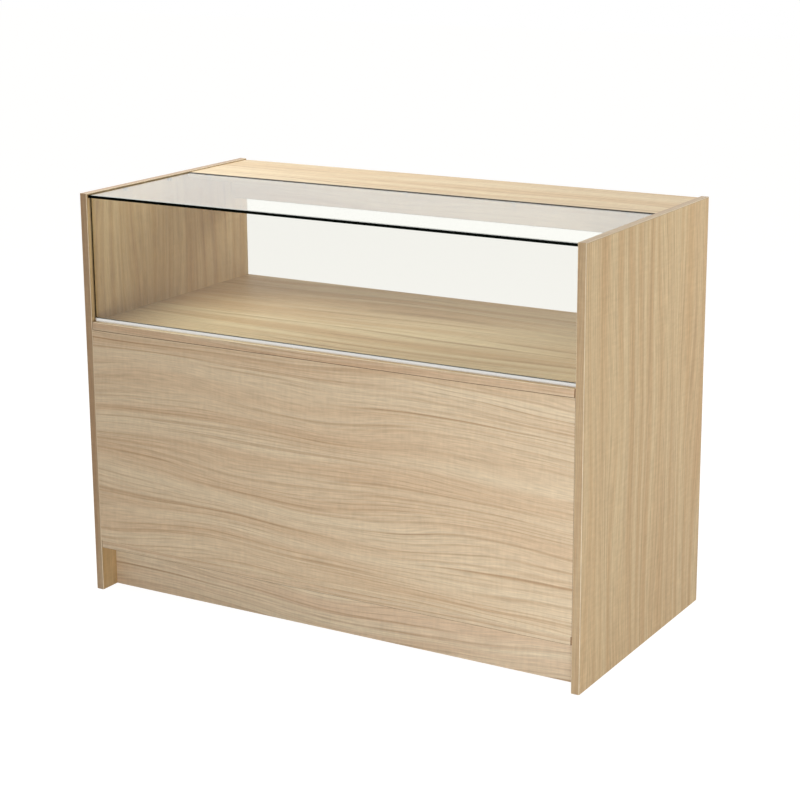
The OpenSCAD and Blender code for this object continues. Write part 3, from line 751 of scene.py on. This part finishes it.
def dress(names: Iterable[str], material: Material) -> None:
    """Gives solids of the frame their material.

    Args:
        names: The solids' node names.
        material: Their material.
    """
    for name in names:
        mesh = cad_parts[name].data
        mesh.materials.clear()
        mesh.materials.append(material)
        LOG.info("dressed %s in %s", name, material.name)


def corners_mm(node: str) -> Box:
    """Lowest and highest corner of a solid in millimetres."""
    low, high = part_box(node)
    return low / MM, high / MM


def turn_to(direction: Vector) -> Matrix:
    """The turn that brings +Z onto a direction."""
    return Vector((0, 0, 1)).rotation_difference(direction).to_matrix().to_4x4()


def from_door_back(low: Vector, high: Vector) -> Matrix:
    """The place of a piece that was turned upwards from Z 0 and goes into a door from behind.

    Args:
        low: Lowest corner of the solid that it stands for.
        high: Highest corner of that solid, in the same unit.

    Returns:
        The place and the turn.
    """
    top = Vector(((low.x + high.x) / 2, high.y, (low.z + high.z) / 2))
    return Matrix.Translation(top) @ Matrix.Rotation(math.pi / 2, 4, "X")


def solids_mm(node: str) -> list[Box]:
    """Splits a node into its separate solids.

    Args:
        node: The node's name.

    Returns:
        The lowest and highest corner of each solid in millimetres, from left to right.
    """
    bm = bmesh.new()
    bm.from_mesh(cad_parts[node].data)
    bmesh.ops.remove_doubles(bm, verts=bm.verts, dist=1e-6)
    left = set(bm.verts)
    boxes = []
    while left:
        open_verts = [left.pop()]
        found = list(open_verts)
        while open_verts:
            for edge in open_verts.pop().link_edges:
                new = left.intersection(edge.verts)
                left -= new
                found += new
                open_verts += new
        xs, ys, zs = zip(*(v.co / MM for v in found))
        boxes.append((Vector((min(xs), min(ys), min(zs))), Vector((max(xs), max(ys), max(zs)))))
    bm.free()
    return sorted(boxes, key=lambda pair: (round(pair[0].x, 3), round(pair[0].y, 3), pair[0].z))


@dataclass(frozen=True)
class Palette:
    """The finishes that more than one sub-assembly uses, each built once."""

    # Anodised aluminium extrusion: pale, satin, with faint lines along its length
    aluminium: Material = field(
        default_factory=SatinMetal("anodised_aluminium_extruded", "E0DFDC", 0.28, Brushing.ALONG_X).material
    )
    # Powder coat in the boards' beige on aluminium: matt, with the coat's fine dimples
    painted: Material = field(default_factory=MouldedPlastic("beige_powder_coat", "D3BC98", 0.55).material)
    # Nickel plated steel: warm grey, satin
    nickel: Material = field(default_factory=SatinMetal("nickel_plated_steel", "B9B5AE", 0.30).material)
    # Bright zinc plated steel: bluish and a little uneven
    zinc: Material = field(default_factory=SatinMetal("zinc_plated_steel", "A9ACB0", 0.38).material)
    # Moulded nylon, off white
    nylon: Material = field(default_factory=MouldedPlastic("moulded_nylon", "E6E3DA", 0.45).material)
    # Clear soft vinyl, which takes on the colour behind it
    vinyl: Material = field(default_factory=MouldedPlastic("clear_vinyl", "E9EEEB", 0.22, 0.75).material)


@dataclass
class Carcass:
    """The boards and their edge strips."""

    # Width of the sharp edge that is broken along the front panel
    ease_mm: float = 0.8
    # The side panels' strips turn from the front edge onto the top edge here
    strip_turn_mm: float = 897.9

    def build(self) -> None:
        """Dresses every board and strip of the carcass."""
        for name, decor in {**self.boards(), **self.strips()}.items():
            dress([name], decor.material())
        self.ease("front_panel")

    def ease(self, name: str) -> None:
        """Breaks a board's sharp edges, which opens the fine joints along it.

        Args:
            name: The board's node name.
        """
        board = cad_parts[name]
        weld = board.modifiers.new("weld", "WELD")
        weld.merge_threshold = 0.01 * MM
        bevel = board.modifiers.new("ease", "BEVEL")
        bevel.width, bevel.segments, bevel.harden_normals = self.ease_mm * MM, 1, True
        bevel.limit_method, bevel.angle_limit = "ANGLE", math.radians(60)

    def boards(self) -> dict[str, OakMelamine]:
        """Chooses the boards' decor. Each board is cut from its own place in the print.

        Returns:
            The decor of each board by node name.
        """
        bends = {"bend_mm": (800.0, 150.0), "bend_depth_mm": 90.0}
        flat = {**bends, "line_mm": 36.0, "strength": 0.36, "thin_axis": 2}
        inside = {**flat, "pale": "E4D2AC", "warm": "D0B187", "strength": 0.55, "band_mm": 60.0}
        top = {**flat, "pale": "DDCCAA", "warm": "D5BE99"}
        # The plinths and the rail are in the shade of other boards: their print is painted paler, as painted
        # light that lifts that shade
        low = {"pale": "E4D6BA", "warm": "DCC5A8", "thin_axis": 1}
        upright = {
            "bend_mm": (700.0, 120.0), "bend_depth_mm": 80.0, "line_mm": 34.0, "thin_mm": 13.0,
            "fine_mm": 5.0, "band_mm": 30.0, "strength": 0.32, "fine_strength": 0.22,
            "pale": "DCC69C", "warm": "CFB185", "thin_axis": 0,
        }
        # The left side panel stands in shade: its print is painted darker, as painted shade
        shaded_upright = {**upright, "pale": "D2B98C", "warm": "C2A273", "strength": 0.4, "fine_strength": 0.28}
        table = {
            "left_side_panel": ("left_side", Grain.UPRIGHT, (310, 0, 90), shaded_upright),
            "right_side_panel": ("right_side", Grain.UPRIGHT, (0, 520, 0), upright),
            "centre_partition": ("partition", Grain.UPRIGHT, (77, 910, 0), upright),
            "front_panel": ("front", Grain.ACROSS, (130, 0, 240), {"thin_axis": 1}),
            "front_plinth": ("front_plinth", Grain.ACROSS, (900, 0, 660), low),
            "rear_plinth": ("rear_plinth", Grain.ACROSS, (1700, 0, 60), low),
            "display_deck": ("deck", Grain.ACROSS, (1160, 150, 0), inside),
            "bottom_panel": ("bottom", Grain.ACROSS, (820, 470, 0), flat),
            "rear_top_board": ("top", Grain.ACROSS, (2100, 90, 0), top),
            "header_rail": ("rail", Grain.ACROSS, (1500, 0, 820), {**flat, **low}),
        }
        return {
            node: OakMelamine(f"oak_melamine_{name}", grain, shift, **looks)
            for node, (name, grain, shift, looks) in table.items()
        }

    def strips(self) -> dict[str, OakStrip]:
        """Chooses the edge strips' decor: the same print, browner on the side panels, and on the left one
        darker still as painted shade.

        Returns:
            The decor of each strip by node name.
        """
        side = {"turn_above_mm": self.strip_turn_mm, "pale": "BCA684", "warm": "B0936F"}
        # The left side panel's strip is painted darker, as painted shade
        shaded = {**side, "pale": "B49E80", "warm": "A88B6B"}
        table = {
            "left_side_edging": ("left_side", Grain.UPRIGHT, (0, 40, 0), shaded),
            "right_side_edging": ("right_side", Grain.UPRIGHT, (0, 170, 0), side),
            "partition_edging": ("partition", Grain.UPRIGHT, (0, 330, 0), {}),
            "bottom_edging": ("bottom", Grain.ACROSS, (0, 0, 210), {}),
            "deck_edging": ("deck", Grain.ACROSS, (400, 0, 0), {}),
            "top_board_edging": ("top", Grain.ACROSS, (800, 0, 90), {}),
            "header_edging": ("rail", Grain.ACROSS, (1200, 0, 50), {}),
            "shelf_edging": ("shelves", Grain.ACROSS, (600, 0, 30), {}),
        }
        return {
            node: OakStrip(f"oak_strip_{name}", grain, shift, **looks)
            for node, (name, grain, shift, looks) in table.items()
        }


@dataclass
class Glazing:
    """The two panes with ground edges, their bond, the channel and the rests."""

    palette: Palette
    glass: FloatGlass = FloatGlass()
    arris_mm: float = 0.7
    # The dark bead: how far it stands above the pane and reaches below, and its side clearance
    bead_rise_mm: float = 1.2
    bead_drop_mm: float = 4.0
    bead_gap_mm: float = 0.1

    def build(self) -> None:
        """Makes the panes and dresses what holds them."""
        rim = self.glass.rim()
        self.pane("top_pane", "top_glass", 2, [self.glass.face("float_glass_polished", "FAFBF1", 0.5), rim])
        coated = self.glass.face("float_glass_low_reflection", "F1F1EB", 0.12)
        self.pane("front_pane", "front_glass", 1, [coated, rim])
        self.bead()
        dress(["pane_bond", "channel_liner", "glass_pads"], self.palette.vinyl)
        dress(["glass_channel"], self.palette.aluminium)
        dress(["glass_ledge"], self.palette.painted)
        dress(["glass_studs"], self.palette.nickel)

    def pane(self, name: str, node: str, thin_axis: int, materials: list[Material]) -> None:
        """Makes one pane with a small arris along every edge.

        Args:
            name: The piece's name.
            node: The solid that it stands for.
            thin_axis: Number of the axis that its thickness lies along.
            materials: The materials of its faces and of its edges.
        """
        bm = bmesh.new()
        block(bm, *corners_mm(node), self.arris_mm, 1)
        for part in bm.faces:
            part.normal_update()
            part.material_index = 0 if abs(part.normal[thin_axis]) > 0.99 else 1
        settle(bare_object(name, bm, 20.0), "carcass", materials, [node])

    def bead(self) -> None:
        """Lays a dark grey bead into the gap between the top pane and the board behind it."""
        low, high = corners_mm("top_glass")
        board = corners_mm("rear_top_board")[0].y
        bm = bmesh.new()
        near = (low.x, high.y + self.bead_gap_mm, high.z - self.bead_drop_mm)
        far = (high.x, board - self.bead_gap_mm, high.z + self.bead_rise_mm)
        block(bm, near, far, 0.5, 3)
        bead = bare_object("rear_dark_bead", bm)
        bead.data.materials.append(MouldedPlastic("dark_grey_bead", "6A655A", 0.6).material())
        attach(bead, "carcass")
        LOG.info("made the bead behind the top pane")


@dataclass(frozen=True)
class CrossScrew:
    """A small flat headed screw with a cross recess."""

    head_mm: float = 6.0
    shank_mm: float = 3.0
    ease_mm: float = 0.35
    point_mm: float = 2.0
    recess_mm: float = 3.4
    recess_deep_mm: float = 0.9
    slot_mm: float = 0.8

    def mesh(self, head_t: float, length: float) -> BMesh:
        """Turns the screw with its head's top at Z 0 and its shank upwards.

        Args:
            head_t: Thickness of the sheet that the head lies in.
            length: Length of the shank.

        Returns:
            The screw's mesh in millimetres.
        """
        r, s, ease = self.head_mm / 2, self.shank_mm / 2, self.ease_mm
        head = [(0.0, 0.0), (r - ease, 0.0), (r - 0.1, 0.12), (r, ease), (r, head_t)]
        shank = [(s, head_t), (s, head_t + length - self.point_mm), (0.0, head_t + length)]
        return lathe(head + shank, SMALL_STEPS)

    def recess(self) -> BMesh:
        """Makes the cross that is cut into the head.

        Returns:
            The cross in millimetres.
        """
        bm = bmesh.new()
        half, wide = self.recess_mm / 2, self.slot_mm / 2
        for x, y in ((half, wide), (wide, half)):
            block(bm, (-x, -y, -1.0), (x, y, self.recess_deep_mm))
        bmesh.ops.remove_doubles(bm, verts=bm.verts, dist=0.0001)
        return bm


@dataclass
class ScrewSet:
    """Screws of one kind, one for each separate solid of a node."""

    name: str
    node: str
    head_t: float
    into: Triple
    material: Material
    slot: str
    screw: CrossScrew = CrossScrew()

    def build(self) -> None:
        """Makes one mesh with a screw at each place."""
        direction = Vector(self.into)
        joined = bmesh.new()
        for low, high in solids_mm(self.node):
            length = abs((high - low).dot(direction))
            body = bare_object("screw_tmp", self.screw.mesh(self.head_t, length - self.head_t))
            carve(body, bare_object("recess_tmp", self.screw.recess()))
            top = (low + high) / 2 - direction * (length / 2)
            body.data.transform(Matrix.Translation(top * MM) @ turn_to(direction))
            joined.from_mesh(body.data)
            bpy.data.meshes.remove(body.data)
        settle(to_object(self.name, joined), "carcass", [self.material], [self.node])


@dataclass
class Fittings:
    """Screws, cams, bolts, dowels, shelf pins, pivots, strikes and catches."""

    palette: Palette
    # The dowels: number and depth of their flutes, radius, and radius and length of their points
    flutes: int = 20
    flute_mm: float = 0.35
    dowel_r: float = 4.0
    point_r: float = 3.0
    point_mm: float = 1.2
    # A catch: thickness of its base, insets of the case and of its poles from its ends, and heights,
    # thickness and depth of the poles
    base_mm: float = 2.0
    case_inset_mm: float = 9.0
    pole_inset_mm: float = 11.0
    pole_levels_mm: tuple[float, ...] = (2.0, 7.0)
    pole_mm: float = 1.6
    pole_deep_mm: float = 4.0
    # A shelf pin as radius and height: rounded nose, collar, and the end that sits in the board
    pin: tuple[Point, ...] = (
        (0.0, 0.0), (2.0, 0.0), (2.7, 0.3), (3.0, 1.0), (3.0, 8.0),
        (4.0, 8.0), (4.0, 9.0),
        (2.5, 9.0), (2.5, 16.4), (1.9, 17.0), (0.0, 17.0),
    )

    def build(self) -> None:
        """Makes the small fittings and dresses the rest."""
        zinc, nickel = self.palette.zinc, self.palette.nickel
        down, up, back = (0.0, 0.0, -1.0), (0.0, 0.0, 1.0), (0.0, 1.0, 0.0)
        ScrewSet("channel_screw_set", "channel_screws", 1.5, down, zinc, "zinc").build()
        ScrewSet("ledge_screw_set", "ledge_screws", 1.5, back, nickel, "nickel").build()
        ScrewSet("strike_screw_set", "strike_screws", 2.0, up, zinc, "zinc").build()
        ScrewSet("catch_screw_set", "catch_screws", 2.0, up, zinc, "zinc").build()
        dress(["cam_discs", "cam_bolts", "pivot_screws"], zinc)
        dress(["pivot_pins", "lock_strikes"], nickel)
        self.shelf_pins()
        self.dowels()
        self.catches()

    def shelf_pins(self) -> None:
        """Turns the shelf pins with a rounded nose and a collar."""
        joined = bmesh.new()
        for low, high in solids_mm("shelf_pins"):
            middle = (low + high) / 2
            # A pin's thick end points to the middle of its cupboard
            inwards = 1.0 if (abs(middle.x) < 300) == (middle.x > 0) else -1.0
            start = Vector((high.x if inwards > 0 else low.x, middle.y, middle.z))
            turn = turn_to(Vector((-inwards, 0, 0)))
            join(joined, lathe(self.pin, SMALL_STEPS), Matrix.Translation(start) @ turn)
        pins = bare_object("shelf_pin_set", joined)
        settle(pins, "carcass", [self.palette.nickel], ["shelf_pins"])

    def dowels(self) -> None:
        """Makes the beech dowels with flutes and pointed ends."""
        joined = bmesh.new()
        for low, high in solids_mm("wood_dowels"):
            size = high - low
            length = max(size)
            direction = Vector([float(side == length) for side in size])
            half = [(0.0, 0.0), (self.point_r, 0.0), (self.dowel_r, self.point_mm)]
            bm = lathe(half + [(r, length - z) for r, z in reversed(half)], 2 * self.flutes)
            for vert in bm.verts:
                flat = Vector((vert.co.x, vert.co.y, 0))
                turn = math.atan2(flat.y, flat.x) * self.flutes / math.tau
                if flat.length > (self.point_r + self.dowel_r) / 2 and round(turn * 2) % 2:
                    vert.co -= flat.normalized() * self.flute_mm
            start = (low + high) / 2 - direction * (length / 2)
            join(joined, bm, Matrix.Translation(start) @ turn_to(direction))
        # Beech run through a fluting cutter: warm, matt, with short darker flecks
        beech = OakMelamine(
            "beech_fluted",
            Grain.ACROSS,
            (0, 0, 0),
            pale="D8B98C",
            warm="CDA878",
            line="B48A5C",
            bend_mm=(60.0, 30.0),
            bend_depth_mm=6.0,
            line_mm=3.0,
            fine_mm=1.5,
            band_mm=6.0,
            roughness=0.6,
        ).material()
        settle(bare_object("dowel_set", joined, 20.0), "carcass", [beech], ["wood_dowels"])

    def catches(self) -> None:
        """Makes the magnetic catches: a moulded case with two pole plates at its front."""
        case, poles = bmesh.new(), bmesh.new()
        for low, high in solids_mm("magnetic_catches"):
            block(case, (low.x, low.y, high.z - self.base_mm), high, 0.5)
            inset = Vector((self.case_inset_mm, 0, 0))
            block(case, low + inset, high - inset - Vector((0, 1.0, 0.6)), 0.8)
            inset = Vector((self.pole_inset_mm, 0, 0))
            for level in self.pole_levels_mm:
                near = Vector((low.x, high.y - self.pole_deep_mm, low.z + level)) + inset
                far = Vector((high.x, high.y, low.z + level + self.pole_mm)) - inset
                block(poles, near, far, 0.2)
        cases = bare_object("catch_cases", case)
        settle(cases, "carcass", [self.palette.nylon], ["magnetic_catches"])
        plates = bare_object("catch_pole_plates", poles)
        plates.data.materials.append(self.palette.zinc)
        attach(plates, "carcass")


@dataclass
class DoorLeaf:
    """One door with its strips, cup pull, lock and catch plate."""

    palette: Palette
    side: Side
    # The pull: thickness of its wall and flange, the flange's width, the bowl's round, and the
    # share of the bowl under the lip
    wall_mm: float = 1.2
    flange_mm: float = 1.2
    flange_wide_mm: float = 5.0
    bowl_round_mm: float = 4.0
    lip_share: float = 0.325
    # The lip: its edge's round, how far it lies under the flange's face, and its reach over the wall
    lip_round_mm: float = 0.4
    lip_sink_mm: float = 0.25
    lip_over_mm: float = 0.4
    # The lock: radius of its barrel, start, pitch and depth of the thread, gap round the plug, radius
    # and length of the plug's neck behind, and the corners of the two blocks that cut the keyway
    barrel_r: float = 8.0
    thread_from_mm: float = 6.0
    pitch_mm: float = 1.5
    thread_mm: float = 0.4
    plug_gap_mm: float = 0.05
    neck_r: float = 3.0
    neck_mm: float = 2.0
    keyway: tuple[tuple[Triple, Triple], ...] = (
        ((-0.6, -3.5, -1.0), (0.6, 3.5, 6.0)),
        ((-1.1, -1.2, -1.0), (0.0, 0.3, 6.0)),
    )

    def build(self) -> None:
        """Dresses the door and makes its pull and its lock."""
        word = self.side.word
        left = self.side is Side.LEFT
        leaf_at, shelf_at = ((140, 330, 0), (300, 40, 0)) if left else ((640, 90, 0), (1300, 610, 0))
        leaf = OakMelamine(f"oak_melamine_{word}_door", Grain.UPRIGHT, leaf_at, thin_axis=1)
        strip = OakStrip(f"oak_strip_{word}_door", Grain.UPRIGHT, (0, 75, 0))
        shelf = OakMelamine(f"oak_melamine_{word}_shelf", Grain.ACROSS, shelf_at, thin_axis=2)
        dress([f"{word}_door"], leaf.material())
        dress([f"{word}_door_edging"], strip.material())
        dress([f"{word}_shelf"], shelf.material())
        dress([f"{word}_door_bushes"], self.palette.nylon)
        dress([f"{word}_lock_nut", f"{word}_lock_cam", f"{word}_cam_screw"], self.palette.zinc)
        dress([f"{word}_catch_plate"], self.palette.nickel)
        self.cup_pull()
        self.lock_housing()
        self.lock_plug()

    def cup_pull(self) -> None:
        """Turns the cup pull with rounded corners and covers part of its bowl with the lip."""
        low, high = corners_mm(f"{self.side.word}_cup_pull")
        depth, rim, flange = high.y - low.y, (high.x - low.x) / 2, self.flange_mm
        bowl = rim - self.flange_wide_mm
        inner, turn = bowl - self.wall_mm, self.bowl_round_mm
        under = flange - depth
        floor = under + self.wall_mm
        inside = [(0.0, floor)] + [
            (inner - turn + turn * math.sin(a), floor + turn - turn * math.cos(a))
            for a in (k * math.pi / 12 for k in range(7))
        ]
        face = [(inner, 0.2), (inner + 0.5, flange - 0.15), (inner + 0.9, flange), (rim - 0.9, flange)]
        edge = [(rim - 0.25, flange - 0.35), (rim, 0.1), (rim, 0.0)]
        outside = [(bowl, 0.0), (bowl, under + 1.0), (bowl - 1.0, under), (0.0, under)]
        pull = lathe(inside + face + edge + outside, PULL_STEPS)
        join(pull, self.pull_lip(bowl, inner), Matrix.Identity(4))
        seat = Vector(((low.x + high.x) / 2, high.y - flange, (low.z + high.z) / 2))
        place = Matrix.Translation(seat) @ Matrix.Rotation(-math.pi / 2, 4, "X")
        bmesh.ops.transform(pull, matrix=place, verts=pull.verts)
        self.on_door("cup_pull", pull)

    def pull_lip(self, bowl: float, inner: float) -> BMesh:
        """Makes the lip on the side of the door's free edge, where the fingers hook in.

        Args:
            bowl: Outer radius of the bowl.
            inner: Inner radius of the bowl.

        Returns:
            The lip in millimetres, with a rounded free edge.
        """
        sign = self.side.value
        edge = -sign * (bowl - 2 * bowl * self.lip_share)
        lip = bmesh.new()
        bmesh.ops.create_circle(lip, cap_ends=True, segments=PULL_STEPS, radius=inner + self.lip_over_mm)
        geom = [*lip.verts, *lip.edges, *lip.faces]
        bmesh.ops.bisect_plane(
            lip, geom=geom, plane_co=(edge, 0, 0), plane_no=(sign, 0, 0), clear_outer=True
        )
        up = bmesh.ops.extrude_face_region(lip, geom=list(lip.faces))["geom"]
        raised = [g for g in up if isinstance(g, BMVert)]
        bmesh.ops.translate(lip, vec=(0, 0, self.flange_mm - self.lip_sink_mm), verts=raised)
        # The long edges of its straight side
        ends = [(e, *(v.co for v in e.verts)) for e in lip.edges]
        along = [e for e, a, b in ends if max(abs(a.x - edge), abs(b.x - edge)) < 0.01 and abs(a.y - b.y) > 1]
        round_edges(lip, along, self.lip_round_mm, 2)
        return lip

    def on_door(self, node: str, bm: BMesh) -> None:
        """Puts a turned nickel piece on the door in place of its solid.

        Args:
            node: The solid's node name without its side.
            bm: The piece's mesh in millimetres.
        """
        node = f"{self.side.word}_{node}"
        piece = bare_object(f"{node}_turned", bm)
        settle(piece, f"{self.side.word}_door", [self.palette.nickel], [node])

    def lock_housing(self) -> None:
        """Turns the lock's housing with a domed flange and a fine thread on its barrel."""
        low, high = corners_mm(f"{self.side.word}_lock_housing")
        plug_low, plug_high = corners_mm(f"{self.side.word}_lock_plug")
        bore = (plug_high.x - plug_low.x) / 2 + self.plug_gap_mm
        flange, barrel, reach = (high.x - low.x) / 2, self.barrel_r, high.y - low.y
        thread: list[Point] = []
        start = self.thread_from_mm
        while start + self.pitch_mm < reach - 0.5:
            thread += [(barrel, start), (barrel - self.thread_mm, start + self.pitch_mm / 2)]
            start += self.pitch_mm
        face = [(bore, 0.0), (bore + 0.5, 0.0), (bore + 1.2, 0.25), (flange - 1.6, 0.0)]
        edge = [(flange - 0.4, 0.55), (flange, 1.4), (flange, 2.0), (barrel, 2.0)]
        end = [(barrel, reach - 0.5), (barrel - 0.5, reach), (bore, reach), (bore, 0.0)]
        bm = lathe(face + edge + thread + end, LOCK_STEPS)
        bmesh.ops.transform(bm, matrix=from_door_back(low, high), verts=bm.verts)
        self.on_door("lock_housing", bm)

    def lock_plug(self) -> None:
        """Turns the plug, sinks its face a little and cuts the keyway."""
        word = self.side.word
        low, high = corners_mm(f"{word}_lock_plug")
        radius, reach = (high.x - low.x) / 2, high.y - low.y
        face = [(0.0, 0.5), (radius - 1.4, 0.5), (radius - 0.9, 0.1), (radius - 0.3, 0.0), (radius, 0.3)]
        back = reach - self.neck_mm
        neck = [(radius, back), (self.neck_r, back), (self.neck_r, reach), (0.0, reach)]
        plug = bare_object(f"{word}_lock_plug_turned", lathe(face + neck, LOCK_STEPS))
        keyway = bmesh.new()
        for corners in self.keyway:
            block(keyway, *corners)
        bmesh.ops.remove_doubles(keyway, verts=keyway.verts, dist=0.0001)
        carve(plug, bare_object("keyway_tmp", keyway))
        plug.data.transform(from_door_back(low * MM, high * MM))
        settle(plug, f"{word}_lock", [self.palette.nickel], [f"{word}_lock_plug"])


@dataclass(frozen=True)
class SoftBox:
    """A square soft lamp, with its place and the point that it faces in metres."""

    name: str
    place: Triple
    aim: Triple
    side_m: float
    watts: float
    tone: str = "F6F9FF"

    def build(self) -> None:
        """Adds the lamp to the scene."""
        data = bpy.data.lights.new(self.name, "AREA")
        data.size, data.energy, data.color = self.side_m, self.watts, linear(self.tone)[:3]
        made = in_scene(self.name, data)
        made.location = self.place
        made.rotation_euler = (Vector(self.aim) - Vector(self.place)).to_track_quat("-Z", "Y").to_euler()
        # A lamp is no object of the room: it isn't seen, neither straight, through a pane nor in one
        made.visible_camera = made.visible_transmission = made.visible_glossy = False
        LOG.info("made the %s lamp", self.name)


@dataclass
class Studio:
    """A pale floor, a white room and soft lamps."""

    # Light that the room gives to matt surfaces: weak and a little warm, as from the wooden floor
    # and the walls that a counter stands among
    room: float = 0.33
    room_tone: str = "FFEEDC"
    # The floor lights the object as white paper does. The eye gets less of that light and more of
    # an even glow, so that the paper is white and still keeps a faint shadow.
    floor_lights: float = 0.66
    floor_seen: float = 0.15
    floor_glow: float = 0.957
    floor_half_m: float = 14.0
    # The rear lamp stands lower than the display deck, so that it lights the doors alone
    lamps: tuple[SoftBox, ...] = (
        SoftBox("key", (1.15, -1.85, 0.25), (0.15, -0.2, 0.30), 0.7, 22.0),
        SoftBox("side", (1.9, 1.5, 1.6), (0.6, 0.2, 0.75), 0.9, 27.5),
        SoftBox("overhead", (-1.2, -0.2, 2.5), (-0.1, -0.1, 0.8), 1.4, 45.0),
        SoftBox("rear", (-0.9, 2.4, 0.40), (-0.1, 0.3, 0.35), 0.8, 20.0),
    )

    def build(self) -> None:
        """Makes the floor, the room and the lamps."""
        self.floor()
        self.room_light()
        for lamp in self.lamps:
            lamp.build()

    def eye_rays(self, add: AddNode) -> Node:
        """Tells the rays that the eye follows from those that light the object.

        Args:
            add: Adds a node to the tree.

        Returns:
            The node that gives 1 for the camera's own rays and for those mirrored or let through.
        """
        rays = add("LightPath").outputs
        two = add("Math", {0: rays["Is Camera Ray"], 1: rays["Is Glossy Ray"]}, operation="MAXIMUM")
        return add("Math", {0: two, 1: rays["Is Transmission Ray"]}, operation="MAXIMUM")

    def floor(self) -> None:
        """Makes the floor: matt, so that it keeps the shadow, with a glow that lifts it to white."""
        material, add = new_material("studio_floor_paper")
        seen = self.eye_rays(add)
        level = add("MapRange", {"Value": seen, "To Min": self.floor_lights, "To Max": self.floor_seen})
        matt = add("BsdfDiffuse", {"Color": level})
        glow = add("Math", {0: seen, 1: self.floor_glow}, operation="MULTIPLY")
        light = add("Emission", {"Color": (1, 1, 1, 1), "Strength": glow})
        both = add("AddShader", {0: matt, 1: light})
        add("OutputMaterial", {"Surface": both})
        bm = bmesh.new()
        bmesh.ops.create_grid(bm, x_segments=1, y_segments=1, size=self.floor_half_m)
        floor = to_object("studio_floor", bm)
        floor.data.materials.append(material)
        LOG.info("made the floor")

    def room_light(self) -> None:
        """Makes the room: white to the eye, and a plain soft light to matt surfaces."""
        world = bpy.data.worlds.new("studio_room")
        bpy.context.scene.world = world
        world.use_nodes = True
        world.node_tree.nodes.clear()
        add = partial(add_node, world.node_tree)
        seen = self.eye_rays(add)
        matt = add("Background", {"Color": linear(self.room_tone), "Strength": self.room})
        white = add("Background", {"Color": (1, 1, 1, 1), "Strength": 1.0})
        mix = add("MixShader", {0: seen, 1: matt, 2: white})
        add("OutputWorld", {"Surface": mix})
        LOG.info("made the room")


@dataclass
class PhotoCamera:
    """The camera, where a fit to the corners of the boards puts it."""

    azimuth_deg: float = 30.608
    elevation_deg: float = 13.814
    roll_deg: float = -0.344
    place: Triple = (2.1437, -3.5898, 1.5841)
    lens_mm: float = 89.409
    sensor_mm: float = 36.0
    clip_m: Range = (0.05, 60.0)
    # The photograph's upright edges lean very little, as with a shifted lens. This small shift
    # brings them nearer and still leaves every other view whole.
    shift: float = -0.06

    def build(self) -> None:
        """Makes the camera and makes it the scene's."""
        az, el, roll = (math.radians(v) for v in (self.azimuth_deg, self.elevation_deg, self.roll_deg))
        back = Vector((math.sin(az) * math.cos(el), -math.cos(az) * math.cos(el), math.sin(el)))
        level = (-back).cross(Vector((0, 0, 1))).normalized()
        above = level.cross(-back)
        right = math.cos(roll) * level + math.sin(roll) * above
        above = math.cos(roll) * above - math.sin(roll) * level
        data = bpy.data.cameras.new("photo_camera")
        data.lens, data.sensor_width, data.shift_y = self.lens_mm, self.sensor_mm, self.shift
        data.clip_start, data.clip_end = self.clip_m
        made = in_scene("photo_camera", data)
        turn = Matrix((right, above, back)).transposed().to_4x4()
        made.matrix_world = Matrix.Translation(self.place) @ turn
        bpy.context.scene.camera = made
        LOG.info("made the camera")


def main() -> None:
    """Builds every sub-assembly in order."""
    logging.basicConfig(level=logging.INFO, format="%(name)s: %(message)s")
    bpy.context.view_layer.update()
    bpy.context.scene.view_settings.view_transform = "Standard"
    palette = Palette()
    PhotoCamera().build()
    Studio().build()
    Carcass().build()
    Glazing(palette).build()
    Fittings(palette).build()
    for side in Side:
        DoorLeaf(palette, side).build()


if __name__ == "__main__":
    main()
